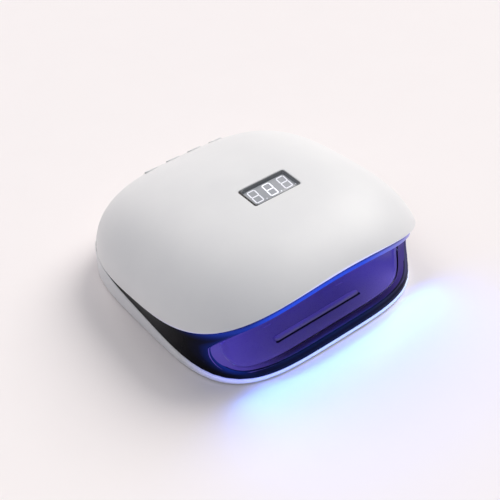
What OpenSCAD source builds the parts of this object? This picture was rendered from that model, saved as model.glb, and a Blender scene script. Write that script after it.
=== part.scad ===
/* [Cover] */
// Width of the cover across its middle
cover_w = 229.4; // [222:0.2:240]
// Depth of the cover from its front edge to its rear edge
cover_d = 216.6; // [212:0.2:226]
// Height of the lamp over the table
lamp_h = 97.5; // [96:0.5:106]
// Wall of the cover
cover_wall = 2.2; // [1.8:0.1:2.6]
// Squareness of the cover's outline, where 2 is an ellipse
cover_square = 3.1; // [2.9:0.05:3.4]
// Share by which the cover widens towards the front
cover_flare = 0.036; // [0.02:0.002:0.05]
// Height of the cover's edge at the rear
rim_rear_z = 27.4; // [25:0.2:30]
// Height of the cover's edge at its front corners
rim_corner_z = 54.5; // [52:0.5:57]
// Rise of the edge from the front corners to the middle of the mouth
rim_arch = 21.9; // [20:0.1:23]
// How late the edge climbs on its way to the front
rim_sweep = 1.75; // [1.6:0.05:1.9]
// Roundness of the crown along the middle, larger is flatter
crown_round = 2.6; // [2.4:0.05:2.9]
// Change of the crown's roundness from the middle to the front or rear
crown_tilt = 1.2; // [1.0:0.05:1.3]
// Roundness of the shoulder at the front edge, 1 is a plain slope
edge_front = 1.1; // [1.1:0.05:1.3]
// Roundness of the shoulder at the rear edge
edge_rear = 2.28; // [2.1:0.02:2.5]

/* [Base] */
// Width of the base across its middle
base_w = 216.4; // [213:0.2:220]
// Depth of the base
base_d = 213.2; // [209:0.2:215]
// Squareness of the base's outline
base_square = 3.9; // [3.7:0.1:4.2]
// Height of the base's top edge at the front
base_front_z = 5.4; // [5.2:0.1:6]
// Gap that shows as a dark line between base and housing
part_gap = 0.4; // [0.3:0.05:0.6]
// Wall of the base pan
pan_wall = 2.2; // [1.8:0.1:2.4]
// Thickness of the pan's floor
pan_floor = 2.4; // [2.2:0.1:2.8]
// Radius under the outer edge of the pan
pan_edge = 2; // [1:0.25:2.5]
// Radius of a rubber foot
foot_r = 7; // [5:0.5:9]
// Height that a foot stands out of the pan
foot_proud = 1; // [0.8:0.1:1.5]
// Depth that a foot is let into the pan
foot_seat = 0.8; // [0.5:0.1:1.1]

/* [Band and mouth] */
// Wall of the dark side band
band_wall = 2; // [1.6:0.1:2.2]
// Height that the band is tucked up inside the cover
band_tuck = 3; // [2:0.25:4]
// Hollow of the band between its edges
band_belly = 1; // [0:0.25:2]
// Band left beside the mouth, from the base's side to the opening
mouth_side = 9.2; // [8.2:0.1:11.2]
// Height over the table at which the mouth is widest
mouth_mid_z = 32; // [30.8:0.2:33.8]
// Height of the mouth's lower lip
lip_z = 10.6; // [10.2:0.1:11.4]
// Length of the rounded end of the mouth
mouth_end = 21; // [19:0.5:23]
// Band left between the mouth and the cover's edge in the middle
visor_mid = 9.4; // [8.4:0.1:10.2]
// Band left there towards the mouth's ends
visor_end = 9.4; // [8.4:0.1:10.2]
// Wall of the trim ring inside the mouth
ring_wall = 1.2; // [1:0.1:1.4]

/* [Hand chamber] */
// Room between the base's side and the chamber
chamber_side = 12.2; // [11.2:0.1:14.2]
// Depth of the sill between the base's front edge and the chamber
chamber_sill = 12.1; // [10:0.1:14]
// Room behind the chamber, up to the base's rear edge
chamber_back = 40.6; // [38.6:0.2:44.6]
// Squareness of the chamber's outline
chamber_square = 5; // [4.6:0.1:5.6]
// Room between the chamber's ceiling and the crown
ceiling_room = 29.5; // [29:0.25:31.5]
// Wall of the reflector
reflector_wall = 1.6; // [1.4:0.1:2]
// Height of the seam between floor tray and reflector
wall_seam_z = 32.8; // [30:0.2:34]
// Height of the tray's floor over the table
tray_z = 8; // [7.6:0.1:8.2]
// Thickness of the floor tray
tray_wall = 1.6; // [1.4:0.1:2]
// Share of the chamber's reach that stays flat
flat_share = 0.62; // [0.6:0.01:0.64]
// Length of the finger ridge on the floor
ridge_len = 84.8; // [70:0.2:95]
// Width of the finger ridge
ridge_w = 5; // [3:0.25:6]
// Height of the finger ridge over the floor
ridge_h = 1.6; // [1:0.1:2]
// Place of the finger ridge in front of the lamp's middle
ridge_y = 79.8; // [72:0.2:82]

/* [Display] */
// Width of the display window
window_w = 44.6; // [42:0.1:48]
// Depth of the display window
window_d = 22.2; // [20:0.1:24]
// Corner radius of the display window
window_r = 1.5; // [1:0.25:3]
// Place of the window in front of the lamp's middle
window_y = 21.2; // [19:0.2:24]
// Width of the sloped frame round the display
bezel_w = 3.2; // [2.4:0.1:3.6]
// Depth of the display's face under the cover's surface
bezel_deep = 2.4; // [2:0.1:3]

/* [Buttons] */
// Number of timer buttons
button_count = 4; // [4:1:4]
// Distance between two buttons
button_pitch = 21.7; // [20:0.1:23]
// Place of the buttons in front of the cover's rear edge
button_edge = 18.8; // [17.3:0.1:20.3]
// Width of a button
button_w = 13; // [11:0.25:14]
// Depth of a button
button_d = 6.4; // [5.5:0.1:7]
// Height of a button over the cover
button_proud = 0.9; // [0.5:0.05:1.2]
// Travel of a button
button_travel = 0.5; // [0.3:0.05:0.6]

/* [Light sources] */
// Columns of lights in the ceiling
light_cols = 4; // [3:1:4]
// Rows of lights in the ceiling
light_rows = 5; // [4:1:5]
// Distance between two columns
light_col_pitch = 28; // [24:0.5:29]
// Distance between two rows
light_row_pitch = 18; // [16:0.5:18]
// Lights along each side
side_lights = 5; // [4:1:5]
// Distance between two side lights
side_light_pitch = 21; // [18:0.5:22]
// Lights along the rear
rear_lights = 6; // [4:1:6]
// Distance between two rear lights
rear_light_pitch = 20; // [16:0.5:20]
// Radius of a light's lens
lens_r = 3.4; // [3:0.1:3.6]

/* [Electronics] */
// Width of the control board
control_w = 96; // [88:1:98]
// Depth of the control board
control_d = 64; // [62:0.5:66]
// Thickness of every circuit board
board_t = 1.6; // [1.2:0.1:1.8]
// Radius of the power plug's hole
plug_r = 2.85; // [2.7:0.05:3]
// Height of the power socket over the table
socket_z = 40; // [39:0.25:41]
// Radius of the power socket's thread
socket_r = 5.4; // [5:0.1:5.6]
// Radius of a holding magnet
magnet_r = 5; // [4:0.25:5.5]

/* [Hidden] */

sides = 96;
fit = 0.3;
slide_fit = 0.1;
bearings = [for (i = [0:sides - 1]) i * 360 / sides];
cover_reach = cover_d / 2;
cover_half = cover_w / 2;
base_reach = base_d / 2;
base_half = base_w / 2;
// Room that base and cover both leave for what stands inside them
cover_over_side = 6.5;
cover_over_end = 1.7;
case_half = min(base_half, cover_half - cover_over_side);
case_reach = min(base_reach, cover_reach - cover_over_end);
chamber_half = case_half - chamber_side;
chamber_front = case_reach - chamber_sill;
chamber_rear = case_reach - chamber_back;
ceiling_z = lamp_h - ceiling_room;
mouth_half = case_half - mouth_side;
button_y = cover_reach - button_edge;
arch_sweep = 1.09;
base_sweep = 1.13;
base_flare = 0.007;
plan_flare = 0;
band_step = cover_wall + 0.7;
band_inset = 0.5;

// Floors and levels, from the table up
pan_bottom = foot_proud;
pan_top = pan_bottom + pan_floor;
head_room = 0.5;
screw_head_h = 1.3;
chassis_z = pan_top + head_room + screw_head_h;
chassis_t = 1.6;
chassis_top = chassis_z + chassis_t;
housing_gap = 0.2;

// Outline of a plan shape at a bearing: half width, front reach, rear reach, squareness, flare
function outline(half, front, rear, square, flare, bearing) =
    let (c = cos(bearing), s = sin(bearing),
        reach = s < 0 ? front : rear,
        r = 1 / pow(pow(abs(c) / half, square) + pow(abs(s) / reach, square), 1 / square),
        y = r * s)
    [r * c * (1 - 2 * flare * y / (front + rear)), y];
function cover_plan(bearing, inset = 0) =
    outline(cover_half - inset, cover_reach - inset, cover_reach - inset,
        cover_square, cover_flare, bearing);
function base_plan(bearing, inset = 0) =
    outline(base_half - inset, base_reach - inset, base_reach - inset,
        base_square, base_flare, bearing);
function chamber_plan(bearing, inset = 0) =
    outline(chamber_half - inset, chamber_front - inset, chamber_rear - inset,
        chamber_square, plan_flare, bearing);
// Reach of the chamber's outline to the front, over a place across it
function chamber_front_y(x, inset = 0) =
    -(chamber_front - inset) * pow(1 - pow(min(0.999, abs(x) / (chamber_half - inset)),
        chamber_square), 1 / chamber_square);

// Height of the cover's edge over a point of its outline
function rim_z(p) =
    let (climb = min(1, max(0, (cover_reach - p.y) / cover_d)),
        front = max(0, -p.y / cover_reach),
        across = max(0, 1 - pow(p.x / cover_half, 2)))
    rim_rear_z + (rim_corner_z - rim_rear_z) * pow(climb, rim_sweep)
        + rim_arch * pow(front, arch_sweep) * across;
// Height of the base's top edge over a place along its depth
function base_z(y) =
    base_front_z + (rim_rear_z - 1 - base_front_z)
        * pow(min(1, max(0, (base_reach + y) / base_d)), base_sweep);

// Height of the domed cover: a point of its outline, the share of the way out, the crown's height
function dome_z(p, share, crown) =
    let (tilt = p.y / cover_reach,
        crown_power = crown_round - crown_tilt * tilt,
        edge_power = (edge_front + edge_rear) / 2 + (edge_rear - edge_front) / 2 * tilt,
        edge = rim_z(p))
    edge + (crown - edge) * pow(max(0, 1 - pow(share, crown_power)), 1 / edge_power);
// Share of the way from the middle to the cover's edge at a point in plan
function cover_share(q, share = 1, turns = 8) =
    turns == 0 ? share :
    let (p = q / share,
        wide = cover_half * (1 - cover_flare * p.y / cover_reach),
        g = pow(pow(abs(p.x) / wide, cover_square)
            + pow(abs(p.y) / cover_reach, cover_square), 1 / cover_square))
    cover_share(q, share * g, turns - 1);
// Height of the cover's outer face over a point in plan
function cover_z(q) =
    norm(q) < 0.5 ? lamp_h :
    let (share = cover_share(q))
    dome_z(q / share, min(1, share), lamp_h);
// Height of the cover's inner face over a point in plan
function under_cover_z(q) = cover_z(q * (1 + cover_wall / cover_reach)) - cover_wall;

// Skin over rings of points, closed by a point above the first ring and one after the last
module dome_skin(first, rings, last) {
    n = len(rings[0]);
    count = len(rings);
    points = concat([first], [for (ring = rings) for (p = ring) p], [last]);
    end = len(points) - 1;
    cap = [for (i = [0:n - 1]) [0, 1 + (i + 1) % n, 1 + i]];
    wall = [for (k = [0:count - 2]) for (i = [0:n - 1])
        let (a = 1 + k * n + i, b = 1 + k * n + (i + 1) % n)
        for (face = [[a, b, b + n], [a, b + n, a + n]]) face];
    foot = [for (i = [0:n - 1])
        [end, 1 + (count - 1) * n + i, 1 + (count - 1) * n + (i + 1) % n]];
    polyhedron(points, concat(cap, wall, foot), convexity = 6);
}
// Skin over rings of points that comes round to the first ring again
module ring_skin(rings) {
    n = len(rings[0]);
    count = len(rings);
    points = [for (ring = rings) for (p = ring) p];
    faces = [for (k = [0:count - 1]) for (i = [0:n - 1])
        let (a = k * n + i, b = k * n + (i + 1) % n,
            c = ((k + 1) % count) * n + (i + 1) % n, d = ((k + 1) % count) * n + i)
        for (face = [[a, b, c], [a, c, d]]) face];
    polyhedron(points, faces, convexity = 6);
}
// Round tube along a smooth curve through points
function bend_point(path, i, t) =
    let (last = len(path) - 1, a = path[max(0, i - 1)], b = path[i],
        c = path[min(last, i + 1)], d = path[min(last, i + 2)])
    0.5 * (2 * b + (c - a) * t + (2 * a - 5 * b + 4 * c - d) * t * t
        + (3 * b - a - 3 * c + d) * t * t * t);
function smooth(path, steps) = concat(
    [for (i = [0:len(path) - 2]) for (k = [0:steps - 1]) bend_point(path, i, k / steps)],
    [path[len(path) - 1]]);
function along(path, i) =
    let (v = path[min(len(path) - 1, i + 1)] - path[max(0, i - 1)]) v / norm(v);
function beside(v) = let (w = cross(v, [0.31, 0.17, 0.94])) w / norm(w);
module tube(points, r, tube_sides = 8) {
    path = smooth(points, 4);
    rings = [for (i = [0:len(path) - 1])
        let (v = along(path, i), u = beside(v), w = cross(v, u))
        [for (k = [0:tube_sides - 1]) let (q = -k * 360 / tube_sides)
            path[i] + r * (cos(q) * u + sin(q) * w)]];
    dome_skin(path[0], rings, path[len(path) - 1]);
}
// Flat plate with the shape of a plan outline, as points
module plan_plate(points, z, t) {
    translate([0, 0, z]) linear_extrude(t) polygon(points);
}
// Rounded bar lying across, with flat ends of a pill in plan
module pill(w, d, t) {
    for (side = [-1, 1]) translate([side * (w - d) / 2, 0, 0]) cylinder(h = t, d = d, $fn = 40);
    translate([-(w - d) / 2, -d / 2, 0]) cube([w - d, d, t]);
}
// Rounded rectangle standing on its plan
module rounded_block(w, d, r, t) {
    linear_extrude(t) union() {
        square([w - 2 * r, d], center = true);
        square([w, d - 2 * r], center = true);
        for (sx = [-1, 1]) for (sy = [-1, 1])
            translate([sx * (w / 2 - r), sy * (d / 2 - r)]) circle(r = r, $fn = 32);
    }
}

// Fasteners and bosses
flange_w = 1.1;
button_post_r = 2.4;
button_post_x = (button_count - 1) / 2 * button_pitch + button_w / 2 + flange_w + button_post_r + 1;
button_board_w = 2 * button_post_x + 8;
post_r = 3.4;
rear_post_end = 14.6;
flank_post_off = [6.43, 2.54];
rear_post = [button_board_w / 2 + post_r - 1, case_reach - rear_post_end];
flank_post = [chamber_half, chamber_rear] / pow(2, 1 / chamber_square) + flank_post_off;
case_posts = [for (side = [-1, 1]) for (q = [rear_post, flank_post]) [side * q.x, q.y]];
side_post_gap = 4.8;
side_post_y = -20;
case_side_posts = [for (side = [-1, 1]) [side * (chamber_half + side_post_gap), side_post_y]];
side_post_r = 2.2;
case_screw_r = 1.3;
control_x = control_w / 2 - 5;
control_past_window = 16.8;
control_front = window_y + control_past_window;
control_y = control_d / 2 - control_front;
control_posts = [for (sx = [-1, 1]) for (sy = [-1, 1])
    [sx * control_x, control_y + sy * (control_d / 2 - 5)]];
control_screw_r = 1.1;
control_bite = 2.6;
tray_post_side = 44;
tray_post_front = 56.5;
tray_post_rear = 36;
tray_posts = [for (sx = [-1, 1]) for (y = [tray_post_front - chamber_front, chamber_rear - tray_post_rear])
    [sx * (chamber_half - tray_post_side), y]];
tray_post_r = 3.5;
tray_screw_r = 1.3;
foot_side = 30.2;
foot_end = 32.6;
feet = [for (sx = [-1, 1]) for (sy = [-1, 1]) [sx * (base_half - foot_side), sy * (base_reach - foot_end)]];
mid_magnet_x = 22;
mid_magnet_end = 18.6;
flank_magnet_side = 32.2;
flank_magnet_end = 24.6;
mid_magnet = [mid_magnet_x, case_reach - mid_magnet_end];
flank_magnet = [case_half - flank_magnet_side, case_reach - flank_magnet_end];
magnets = [for (sx = [-1, 1]) for (q = [mid_magnet, flank_magnet]) [sx * q.x, q.y]];

// The base that stays on the table

// Outer face of the pan from its top edge down, with the rounded lower edge
module base_pan() {
    arc = [for (k = [0:3]) k * 30];
    floor_shares = [0.35, 0.7, 0.97];
    inner_floor = [for (share = floor_shares)
        [for (b = bearings) concat(base_plan(b, pan_wall) * share, pan_top)]];
    inner_wall = [for (up = [0, 1])
        [for (b = bearings) let (p = base_plan(b, pan_wall), q = base_plan(b))
            concat(p, up == 0 ? pan_top + 0.6 : base_z(q.y) - part_gap)]];
    outer_top = [[for (b = bearings) let (q = base_plan(b)) concat(q, base_z(q.y) - part_gap)]];
    outer_edge = [for (a = arc) [for (b = bearings)
        concat(base_plan(b, pan_edge * (1 - cos(a))), pan_bottom + pan_edge * (1 - sin(a)))]];
    under = [[for (b = bearings) concat(base_plan(b) * 0.5, pan_bottom)]];
    color("white") difference() {
        dome_skin([0, 0, pan_top], concat(inner_floor, inner_wall, outer_top, outer_edge, under),
            [0, 0, pan_bottom]);
        for (p = feet) translate([p.x, p.y, pan_bottom - 1])
            cylinder(h = foot_seat + 1, r = foot_r + slide_fit, $fn = 40);
        for (p = tray_posts) translate([p.x, p.y, pan_bottom - 1]) {
            cylinder(h = pan_floor + 2, r = tray_screw_r + 0.2, $fn = 24);
            cylinder(h = screw_head_h + 1, r = 2 * tray_screw_r + 0.3, $fn = 32);
        }
    }
}

module rubber_feet() {
    color("dimgray") for (p = feet) translate([p.x, p.y, 0]) {
        cylinder(h = foot_proud * 0.4, r1 = foot_r - 0.5, r2 = foot_r, $fn = 40);
        translate([0, 0, foot_proud * 0.4])
            cylinder(h = foot_proud * 0.6 + foot_seat, r = foot_r, $fn = 40);
    }
}

// Height of the chamber's opening over its lower lip and under its upper edge
mouth_flat = mouth_half - mouth_end;
opening_half = mouth_half - 9;
opening_flat = opening_half - 18;
opening_lip_z = lip_z - 1.6;
lower_round = 2.7;
upper_round = 1.4;
function corner_drop(share, power) = pow(max(0, 1 - pow(min(1, share), power)), 1 / power);
function opening_low_z(x) =
    let (over = max(0, (abs(x) - opening_flat) / (opening_half - opening_flat)))
    over >= 1 ? wall_seam_z
        : wall_seam_z - (wall_seam_z - opening_lip_z) * corner_drop(over, lower_round);
function opening_high_z(x) =
    let (over = max(0, (abs(x) - opening_flat) / (opening_half - opening_flat)))
    over >= 1 ? wall_seam_z
        : wall_seam_z + (ceiling_z - wall_seam_z) * corner_drop(over, upper_round);
// Edge of the floor tray and of the reflector round the chamber
function tray_edge_z(p) = p.y < 0 ? opening_low_z(p.x) : wall_seam_z;
function reflector_edge_z(p) = p.y < 0 ? opening_high_z(p.x) : wall_seam_z;
// Share of the rise from the flat middle to the edge, as a quarter of an ellipse
function edge_rise(share) =
    let (t = max(0, (share - flat_share) / (1 - flat_share))) 1 - sqrt(max(0, 1 - t * t));
chamber_shares = [0.3, flat_share, 0.74, 0.83, 0.9, 0.95, 0.98, 1];

module floor_tray() {
    shares = chamber_shares;
    back = len(shares) - 1;
    top = [for (s = shares) [for (b = bearings)
        let (p = chamber_plan(b), q = chamber_plan(b, tray_wall))
        concat(q * s, tray_z + (tray_edge_z(p) - part_gap - tray_z) * edge_rise(s))]];
    under = [for (k = [0:back]) let (s = shares[back - k]) [for (b = bearings)
        let (p = chamber_plan(b))
        concat(p * s, k == 0 ? tray_edge_z(p) - part_gap
            : tray_z - tray_wall + (tray_edge_z(p) - part_gap - tray_z) * edge_rise(s))]];
    color("gainsboro") difference() {
        union() {
            dome_skin([0, 0, tray_z], concat(top, under), [0, 0, tray_z - tray_wall]);
            for (p = tray_posts) translate([p.x, p.y, pan_top])
                cylinder(h = tray_z - tray_wall / 2 - pan_top, r = tray_post_r, $fn = 32);
            translate([0, -ridge_y, tray_z - tray_wall / 2])
                pill(ridge_len, ridge_w, tray_wall / 2 + ridge_h * 0.6);
            translate([0, -ridge_y, tray_z]) pill(ridge_len - 1.6, ridge_w - 1.6, ridge_h);
            for (side = [-1, 1]) translate([side * 37, -ridge_y + 15, tray_z - tray_wall / 2])
                pill(7, 1.2, tray_wall / 2 + 0.5);
        }
        for (p = tray_posts) translate([p.x, p.y, pan_top - 1])
            cylinder(h = tray_z - tray_wall - pan_top + 1, r = tray_screw_r + slide_fit, $fn = 24);
    }
}

// Pan-head screw standing on its head, shank up
module screw_up(r, head_h, length) {
    cylinder(h = head_h, r = 2 * r, $fn = 32);
    translate([0, 0, head_h]) cylinder(h = length, r = r, $fn = 24);
}

module tray_screws() {
    color("silver") for (p = tray_posts) translate([p.x, p.y, pan_bottom + 0.1])
        screw_up(tray_screw_r, screw_head_h - 0.2, tray_z - tray_wall - pan_bottom - screw_head_h - 0.4);
}

module base_magnets() {
    color("silver") for (p = magnets) translate([p.x, p.y, pan_top])
        cylinder(h = chassis_z - housing_gap - pan_top, r = magnet_r, $fn = 40);
}

// The housing that lifts off the base

// Height of the band's top edge under a point of the cover's edge, tucked up behind the cover
function band_top_z(p) = min(rim_z(p) + band_tuck,
    dome_z(p, 1 - (band_step - cover_wall) / norm(p), lamp_h - cover_wall) - fit);
// Height at which the band starts to lean out, just under the cover's edge
function band_edge_z(p) = min(band_top_z(p), rim_z(p)) - fit;
// Depth of the band's hollow part way down a stretch of the band
function band_hollow(down, height) = band_belly * 4 * down * (1 - down) * min(1, height / 40);
// Ring round the band: share of the way from the cover's edge to the base, and inset of the wall
function band_ring(down, inset) = [for (b = bearings)
    let (p = cover_plan(b, band_step), q = base_plan(b, band_inset),
        dir = [cos(b), sin(b)],
        top = band_edge_z(cover_plan(b)),
        low = base_z(base_plan(b).y),
        hollow = band_hollow(down, top - low))
    concat(p * (1 - down) + q * down - dir * (hollow + inset), top * (1 - down) + low * down)];
function band_top_ring(inset) = [for (b = bearings)
    concat(cover_plan(b, band_step + inset), band_top_z(cover_plan(b)))];
// Front face of the band at a place across and up, for the mouth's lip
function band_front_y(x, z, inset, y = -base_reach, turns = 20) =
    turns == 0 ? y :
    let (top = band_edge_z([x, y]), low = base_z(y),
        s = min(1, max(0, (top - z) / (top - low))),
        cut = inset + band_hollow(s, top - low),
        half = (cover_half - band_step) * (1 - s) + (base_half - band_inset) * s - cut,
        reach = (cover_reach - band_step) * (1 - s) + (base_reach - band_inset) * s - cut,
        square = cover_square * (1 - s) + base_square * s,
        flare = cover_flare * (1 - s) + base_flare * s,
        wide = half * (1 - flare * y / reach))
    band_front_y(x, z, inset,
        -reach * pow(max(0.02, 1 - pow(abs(x) / wide, square)), 1 / square), turns - 1);
// Upper edge of the mouth under the cover's edge
function mouth_top_z(x) =
    let (front = [x, -cover_reach * pow(max(0, 1 - pow(abs(x) / cover_half, cover_square)),
        1 / cover_square)])
    rim_z(front) - visor_mid - (visor_end - visor_mid) * pow(abs(x) / mouth_flat, 2);
// Mouth outline across and up, counted round from its right end over the top
end_steps = 7;
span_steps = 12;
quarter = [for (k = [0:end_steps]) 90 * k / end_steps];
span = [for (k = [1:span_steps - 1]) 1 - 2 * k / span_steps];
function mouth_upper(x_flat, reach, mid, top, side, a) =
    [side * (x_flat + reach * pow(cos(a), 2 / upper_round)),
        mid + (top - mid) * pow(sin(a), 2 / upper_round)];
function mouth_lower(x_flat, reach, mid, low, side, a) =
    [side * (x_flat + reach * pow(cos(a), 2 / lower_round)),
        mid - (mid - low) * pow(sin(a), 2 / lower_round)];
function mouth_points(x_flat, reach, mid, low, tops) = concat(
    [for (a = quarter) mouth_upper(x_flat, reach, mid, tops[0], 1, a)],
    [for (k = [0:len(span) - 1]) [x_flat * span[k], tops[k + 1]]],
    [for (k = [0:end_steps]) mouth_upper(x_flat, reach, mid, tops[0], -1, quarter[end_steps - k])],
    [for (k = [1:end_steps]) mouth_lower(x_flat, reach, mid, low, -1, quarter[k])],
    [for (k = [0:len(span) - 1]) [-x_flat * span[k], low]],
    [for (k = [0:end_steps - 1]) mouth_lower(x_flat, reach, mid, low, 1, quarter[end_steps - k])]);
front_tops = concat([mouth_top_z(mouth_flat)], [for (s = span) mouth_top_z(mouth_flat * s)]);
opening_tops = concat([ceiling_z], [for (s = span) ceiling_z]);
mouth_front = mouth_points(mouth_flat, mouth_end, mouth_mid_z, lip_z, front_tops);
mouth_back = mouth_points(opening_flat, opening_half - opening_flat, wall_seam_z,
    opening_lip_z, opening_tops);

module side_band() {
    downs = [0, 0.3, 0.55, 0.8, 1];
    last = len(downs) - 1;
    outside = [for (d = downs) band_ring(d, 0)];
    inside = [for (k = [0:last]) band_ring(downs[last - k], band_wall)];
    color([0.06, 0.06, 0.07]) difference() {
        ring_skin(concat([band_top_ring(0)], outside, inside, [band_top_ring(band_wall)]));
        rotate([90, 0, 0]) linear_extrude(cover_reach + 5) polygon(mouth_front);
    }
}

// Trim ring that leads from the band's mouth in to the chamber
module mouth_ring() {
    n = len(mouth_front);
    // A point moved out of the opening, square to its outline
    function grown(loop, i, g) =
        let (a = loop[(i + n - 1) % n], b = loop[(i + 1) % n], v = (b - a) / norm(b - a))
        loop[i] + g * [v.y, -v.x];
    function front_point(g, deeper) = [for (i = [0:n - 1])
        let (q = grown(mouth_front, i, g))
        [q.x, band_front_y(q.x, q.y, band_wall) + 2 * fit + deeper, q.y]];
    function back_point(g) = [for (i = [0:n - 1])
        let (q = grown(mouth_back, i, g))
        [q.x, chamber_front_y(q.x, -part_gap) - fit, q.y]];
    color([0.1, 0.1, 0.12]) ring_skin([front_point(0, 0), front_point(ring_wall, 0),
        back_point(ring_wall), back_point(0)]);
}

cover_ring_count = 15;
cover_inner_count = 11;
module cover_shell() {
    outer = [for (j = [1:cover_ring_count]) let (s = 1 - pow(1 - j / cover_ring_count, 2.2))
        [for (b = bearings) let (p = cover_plan(b)) concat(p * s, dome_z(p, s, lamp_h))]];
    inner = [for (j = [0:cover_inner_count - 1])
        let (s = 1 - pow(j / cover_inner_count, 2.2))
        [for (b = bearings) let (p = cover_plan(b), q = cover_plan(b, cover_wall))
            concat(q * s, dome_z(p, s, lamp_h - cover_wall))]];
    dome_skin([0, 0, lamp_h], concat(outer, inner), [0, 0, lamp_h - cover_wall]);
}

// Frame of the row of buttons: on the cover's rear slope, its Z square out of the cover
button_z = cover_z([0, button_y]);
button_tilt = atan((cover_z([0, button_y - 1]) - cover_z([0, button_y + 1])) / 2);
button_places = [for (i = [0:button_count - 1]) (i - (button_count - 1) / 2) * button_pitch];
function row_drop(x) = (cover_z([x, button_y]) - button_z) * cos(button_tilt);
module on_button_row() {
    translate([0, button_y, button_z]) rotate([-button_tilt, 0, 0]) children();
}
button_board_z = -10.6;
switch_h = 3.4;
switch_w = 6;
plunger_r = 1.6;
plunger_up = 0.9;
plunger_in = 1.6;
flange_t = 1;

// Power socket in the rear of the cover
socket_face_y = cover_reach - 5.9;
socket_seat_r = socket_r + 1.4;
socket_pad_y = socket_face_y - 5;
module socket_axis(y) {
    translate([0, y, socket_z]) rotate([-90, 0, 0]) children();
}

// Display stack under the cover
bezel_t = 1;
panel_w = window_w - 2 * bezel_w + 2;
panel_d = window_d - 2 * bezel_w + 2;
panel_t = 2.2;
panel_top = lamp_h - bezel_deep - bezel_t;
control_top = lamp_h - 10.5;
control_under = control_top - board_t;

module top_cover() {
    color("white") difference() {
        union() {
            cover_shell();
            for (p = case_posts) translate([p.x, p.y, chassis_top + slide_fit])
                cylinder(h = under_cover_z(p) + 0.6 - chassis_top, r = post_r, $fn = 32);
            for (p = case_side_posts) translate([p.x, p.y, chassis_top + slide_fit])
                cylinder(h = under_cover_z(p) + 0.6 - chassis_top, r = side_post_r, $fn = 32);
            for (p = control_posts) translate([p.x, p.y, control_top + slide_fit])
                cylinder(h = under_cover_z(p) + 0.6 - control_top, r = 3, $fn = 32);
            on_button_row() for (side = [-1, 1]) let (x = side * button_post_x)
                translate([x, 0, button_board_z + slide_fit])
                    cylinder(h = row_drop(x) - cover_wall * 0.6 - button_board_z,
                        r = button_post_r, $fn = 32);
            socket_axis(socket_pad_y) cylinder(h = socket_face_y - socket_pad_y + 0.3,
                r = socket_seat_r + 2, $fn = 48);
        }
        translate([0, -window_y, lamp_h - 8])
            rounded_block(window_w, window_d, window_r, 10);
        on_button_row() for (x = button_places) translate([x, 0, -7])
            pill(button_w + 2 * fit, button_d + 2 * fit, 12);
        on_button_row() for (side = [-1, 1])
            translate([side * button_post_x, 0, button_board_z - 1])
                cylinder(h = 6, r = control_screw_r + slide_fit, $fn = 24);
        for (p = case_posts) translate([p.x, p.y, chassis_top - 1])
            cylinder(h = 11, r = case_screw_r + slide_fit, $fn = 24);
        for (p = case_side_posts) translate([p.x, p.y, chassis_top - 1])
            cylinder(h = 9, r = 1 + slide_fit, $fn = 24);
        for (p = control_posts) translate([p.x, p.y, control_top - 1])
            cylinder(h = 1 + control_bite + slide_fit, r = control_screw_r + slide_fit, $fn = 24);
        socket_axis(socket_face_y) cylinder(h = 20, r = socket_seat_r + 0.2, $fn = 48);
        socket_axis(socket_pad_y - 1) cylinder(h = 12, r = socket_r + slide_fit, $fn = 48);
    }
}

// Lower plate of the housing with its skirt and the collar round the chamber
skirt_t = 1.5;
skirt_inset = pan_wall + 0.6;
collar_t = 1.4;
collar_back = 24.5;
module chassis() {
    plate = [for (b = bearings) base_plan(b, skirt_inset)];
    skirt_hole = [for (b = bearings) base_plan(b, skirt_inset + skirt_t)];
    opening = [for (b = bearings) chamber_plan(b, -fit)];
    collar = [for (b = bearings) chamber_plan(b, -fit - collar_t)];
    collar_top = wall_seam_z - 0.2;
    collar_reach = chamber_front - collar_back;
    steps = [for (k = [0:6]) -base_reach - 1 + (base_d + 2) * k / 6];
    color([0.12, 0.12, 0.13]) difference() {
        union() {
            plan_plate(plate, chassis_z, chassis_t);
            difference() {
                plan_plate(plate, chassis_top, rim_rear_z + 4 - chassis_top);
                plan_plate(skirt_hole, chassis_top - 1, rim_rear_z);
                rotate([90, 0, 90]) translate([0, 0, -cover_w]) linear_extrude(2 * cover_w)
                    polygon(concat([for (y = steps) [y, base_z(y) - fit]],
                        [[base_reach + 1, rim_rear_z + 30], [-base_reach - 1, rim_rear_z + 30]]));
            }
            difference() {
                plan_plate(collar, chassis_top - 0.2, collar_top - chassis_top + 0.2);
                translate([-cover_w, -collar_reach - cover_d, chassis_top])
                    cube([2 * cover_w, cover_d, lamp_h]);
            }
        }
        plan_plate(opening, chassis_z - 1, collar_top - chassis_z + 2);
        for (p = case_posts) translate([p.x, p.y, chassis_z - 1])
            cylinder(h = 4, r = case_screw_r + 0.2, $fn = 24);
        for (p = case_side_posts) translate([p.x, p.y, chassis_z - 1])
            cylinder(h = 4, r = 1.2, $fn = 24);
        for (p = magnets) translate([p.x, p.y, chassis_z - 1])
            cylinder(h = 4, r = magnet_r + slide_fit, $fn = 40);
    }
}

module housing_magnets() {
    color("silver") for (p = magnets) translate([p.x, p.y, chassis_z])
        cylinder(h = chassis_t + 0.6, r = magnet_r, $fn = 40);
}

module case_screws() {
    color("silver") {
        for (p = case_posts) translate([p.x, p.y, chassis_z - screw_head_h])
            screw_up(case_screw_r, screw_head_h - slide_fit, 9);
        for (p = case_side_posts) translate([p.x, p.y, chassis_z - screw_head_h])
            screw_up(1, screw_head_h - slide_fit, 8);
    }
}

// The reflector and its lights

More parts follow.
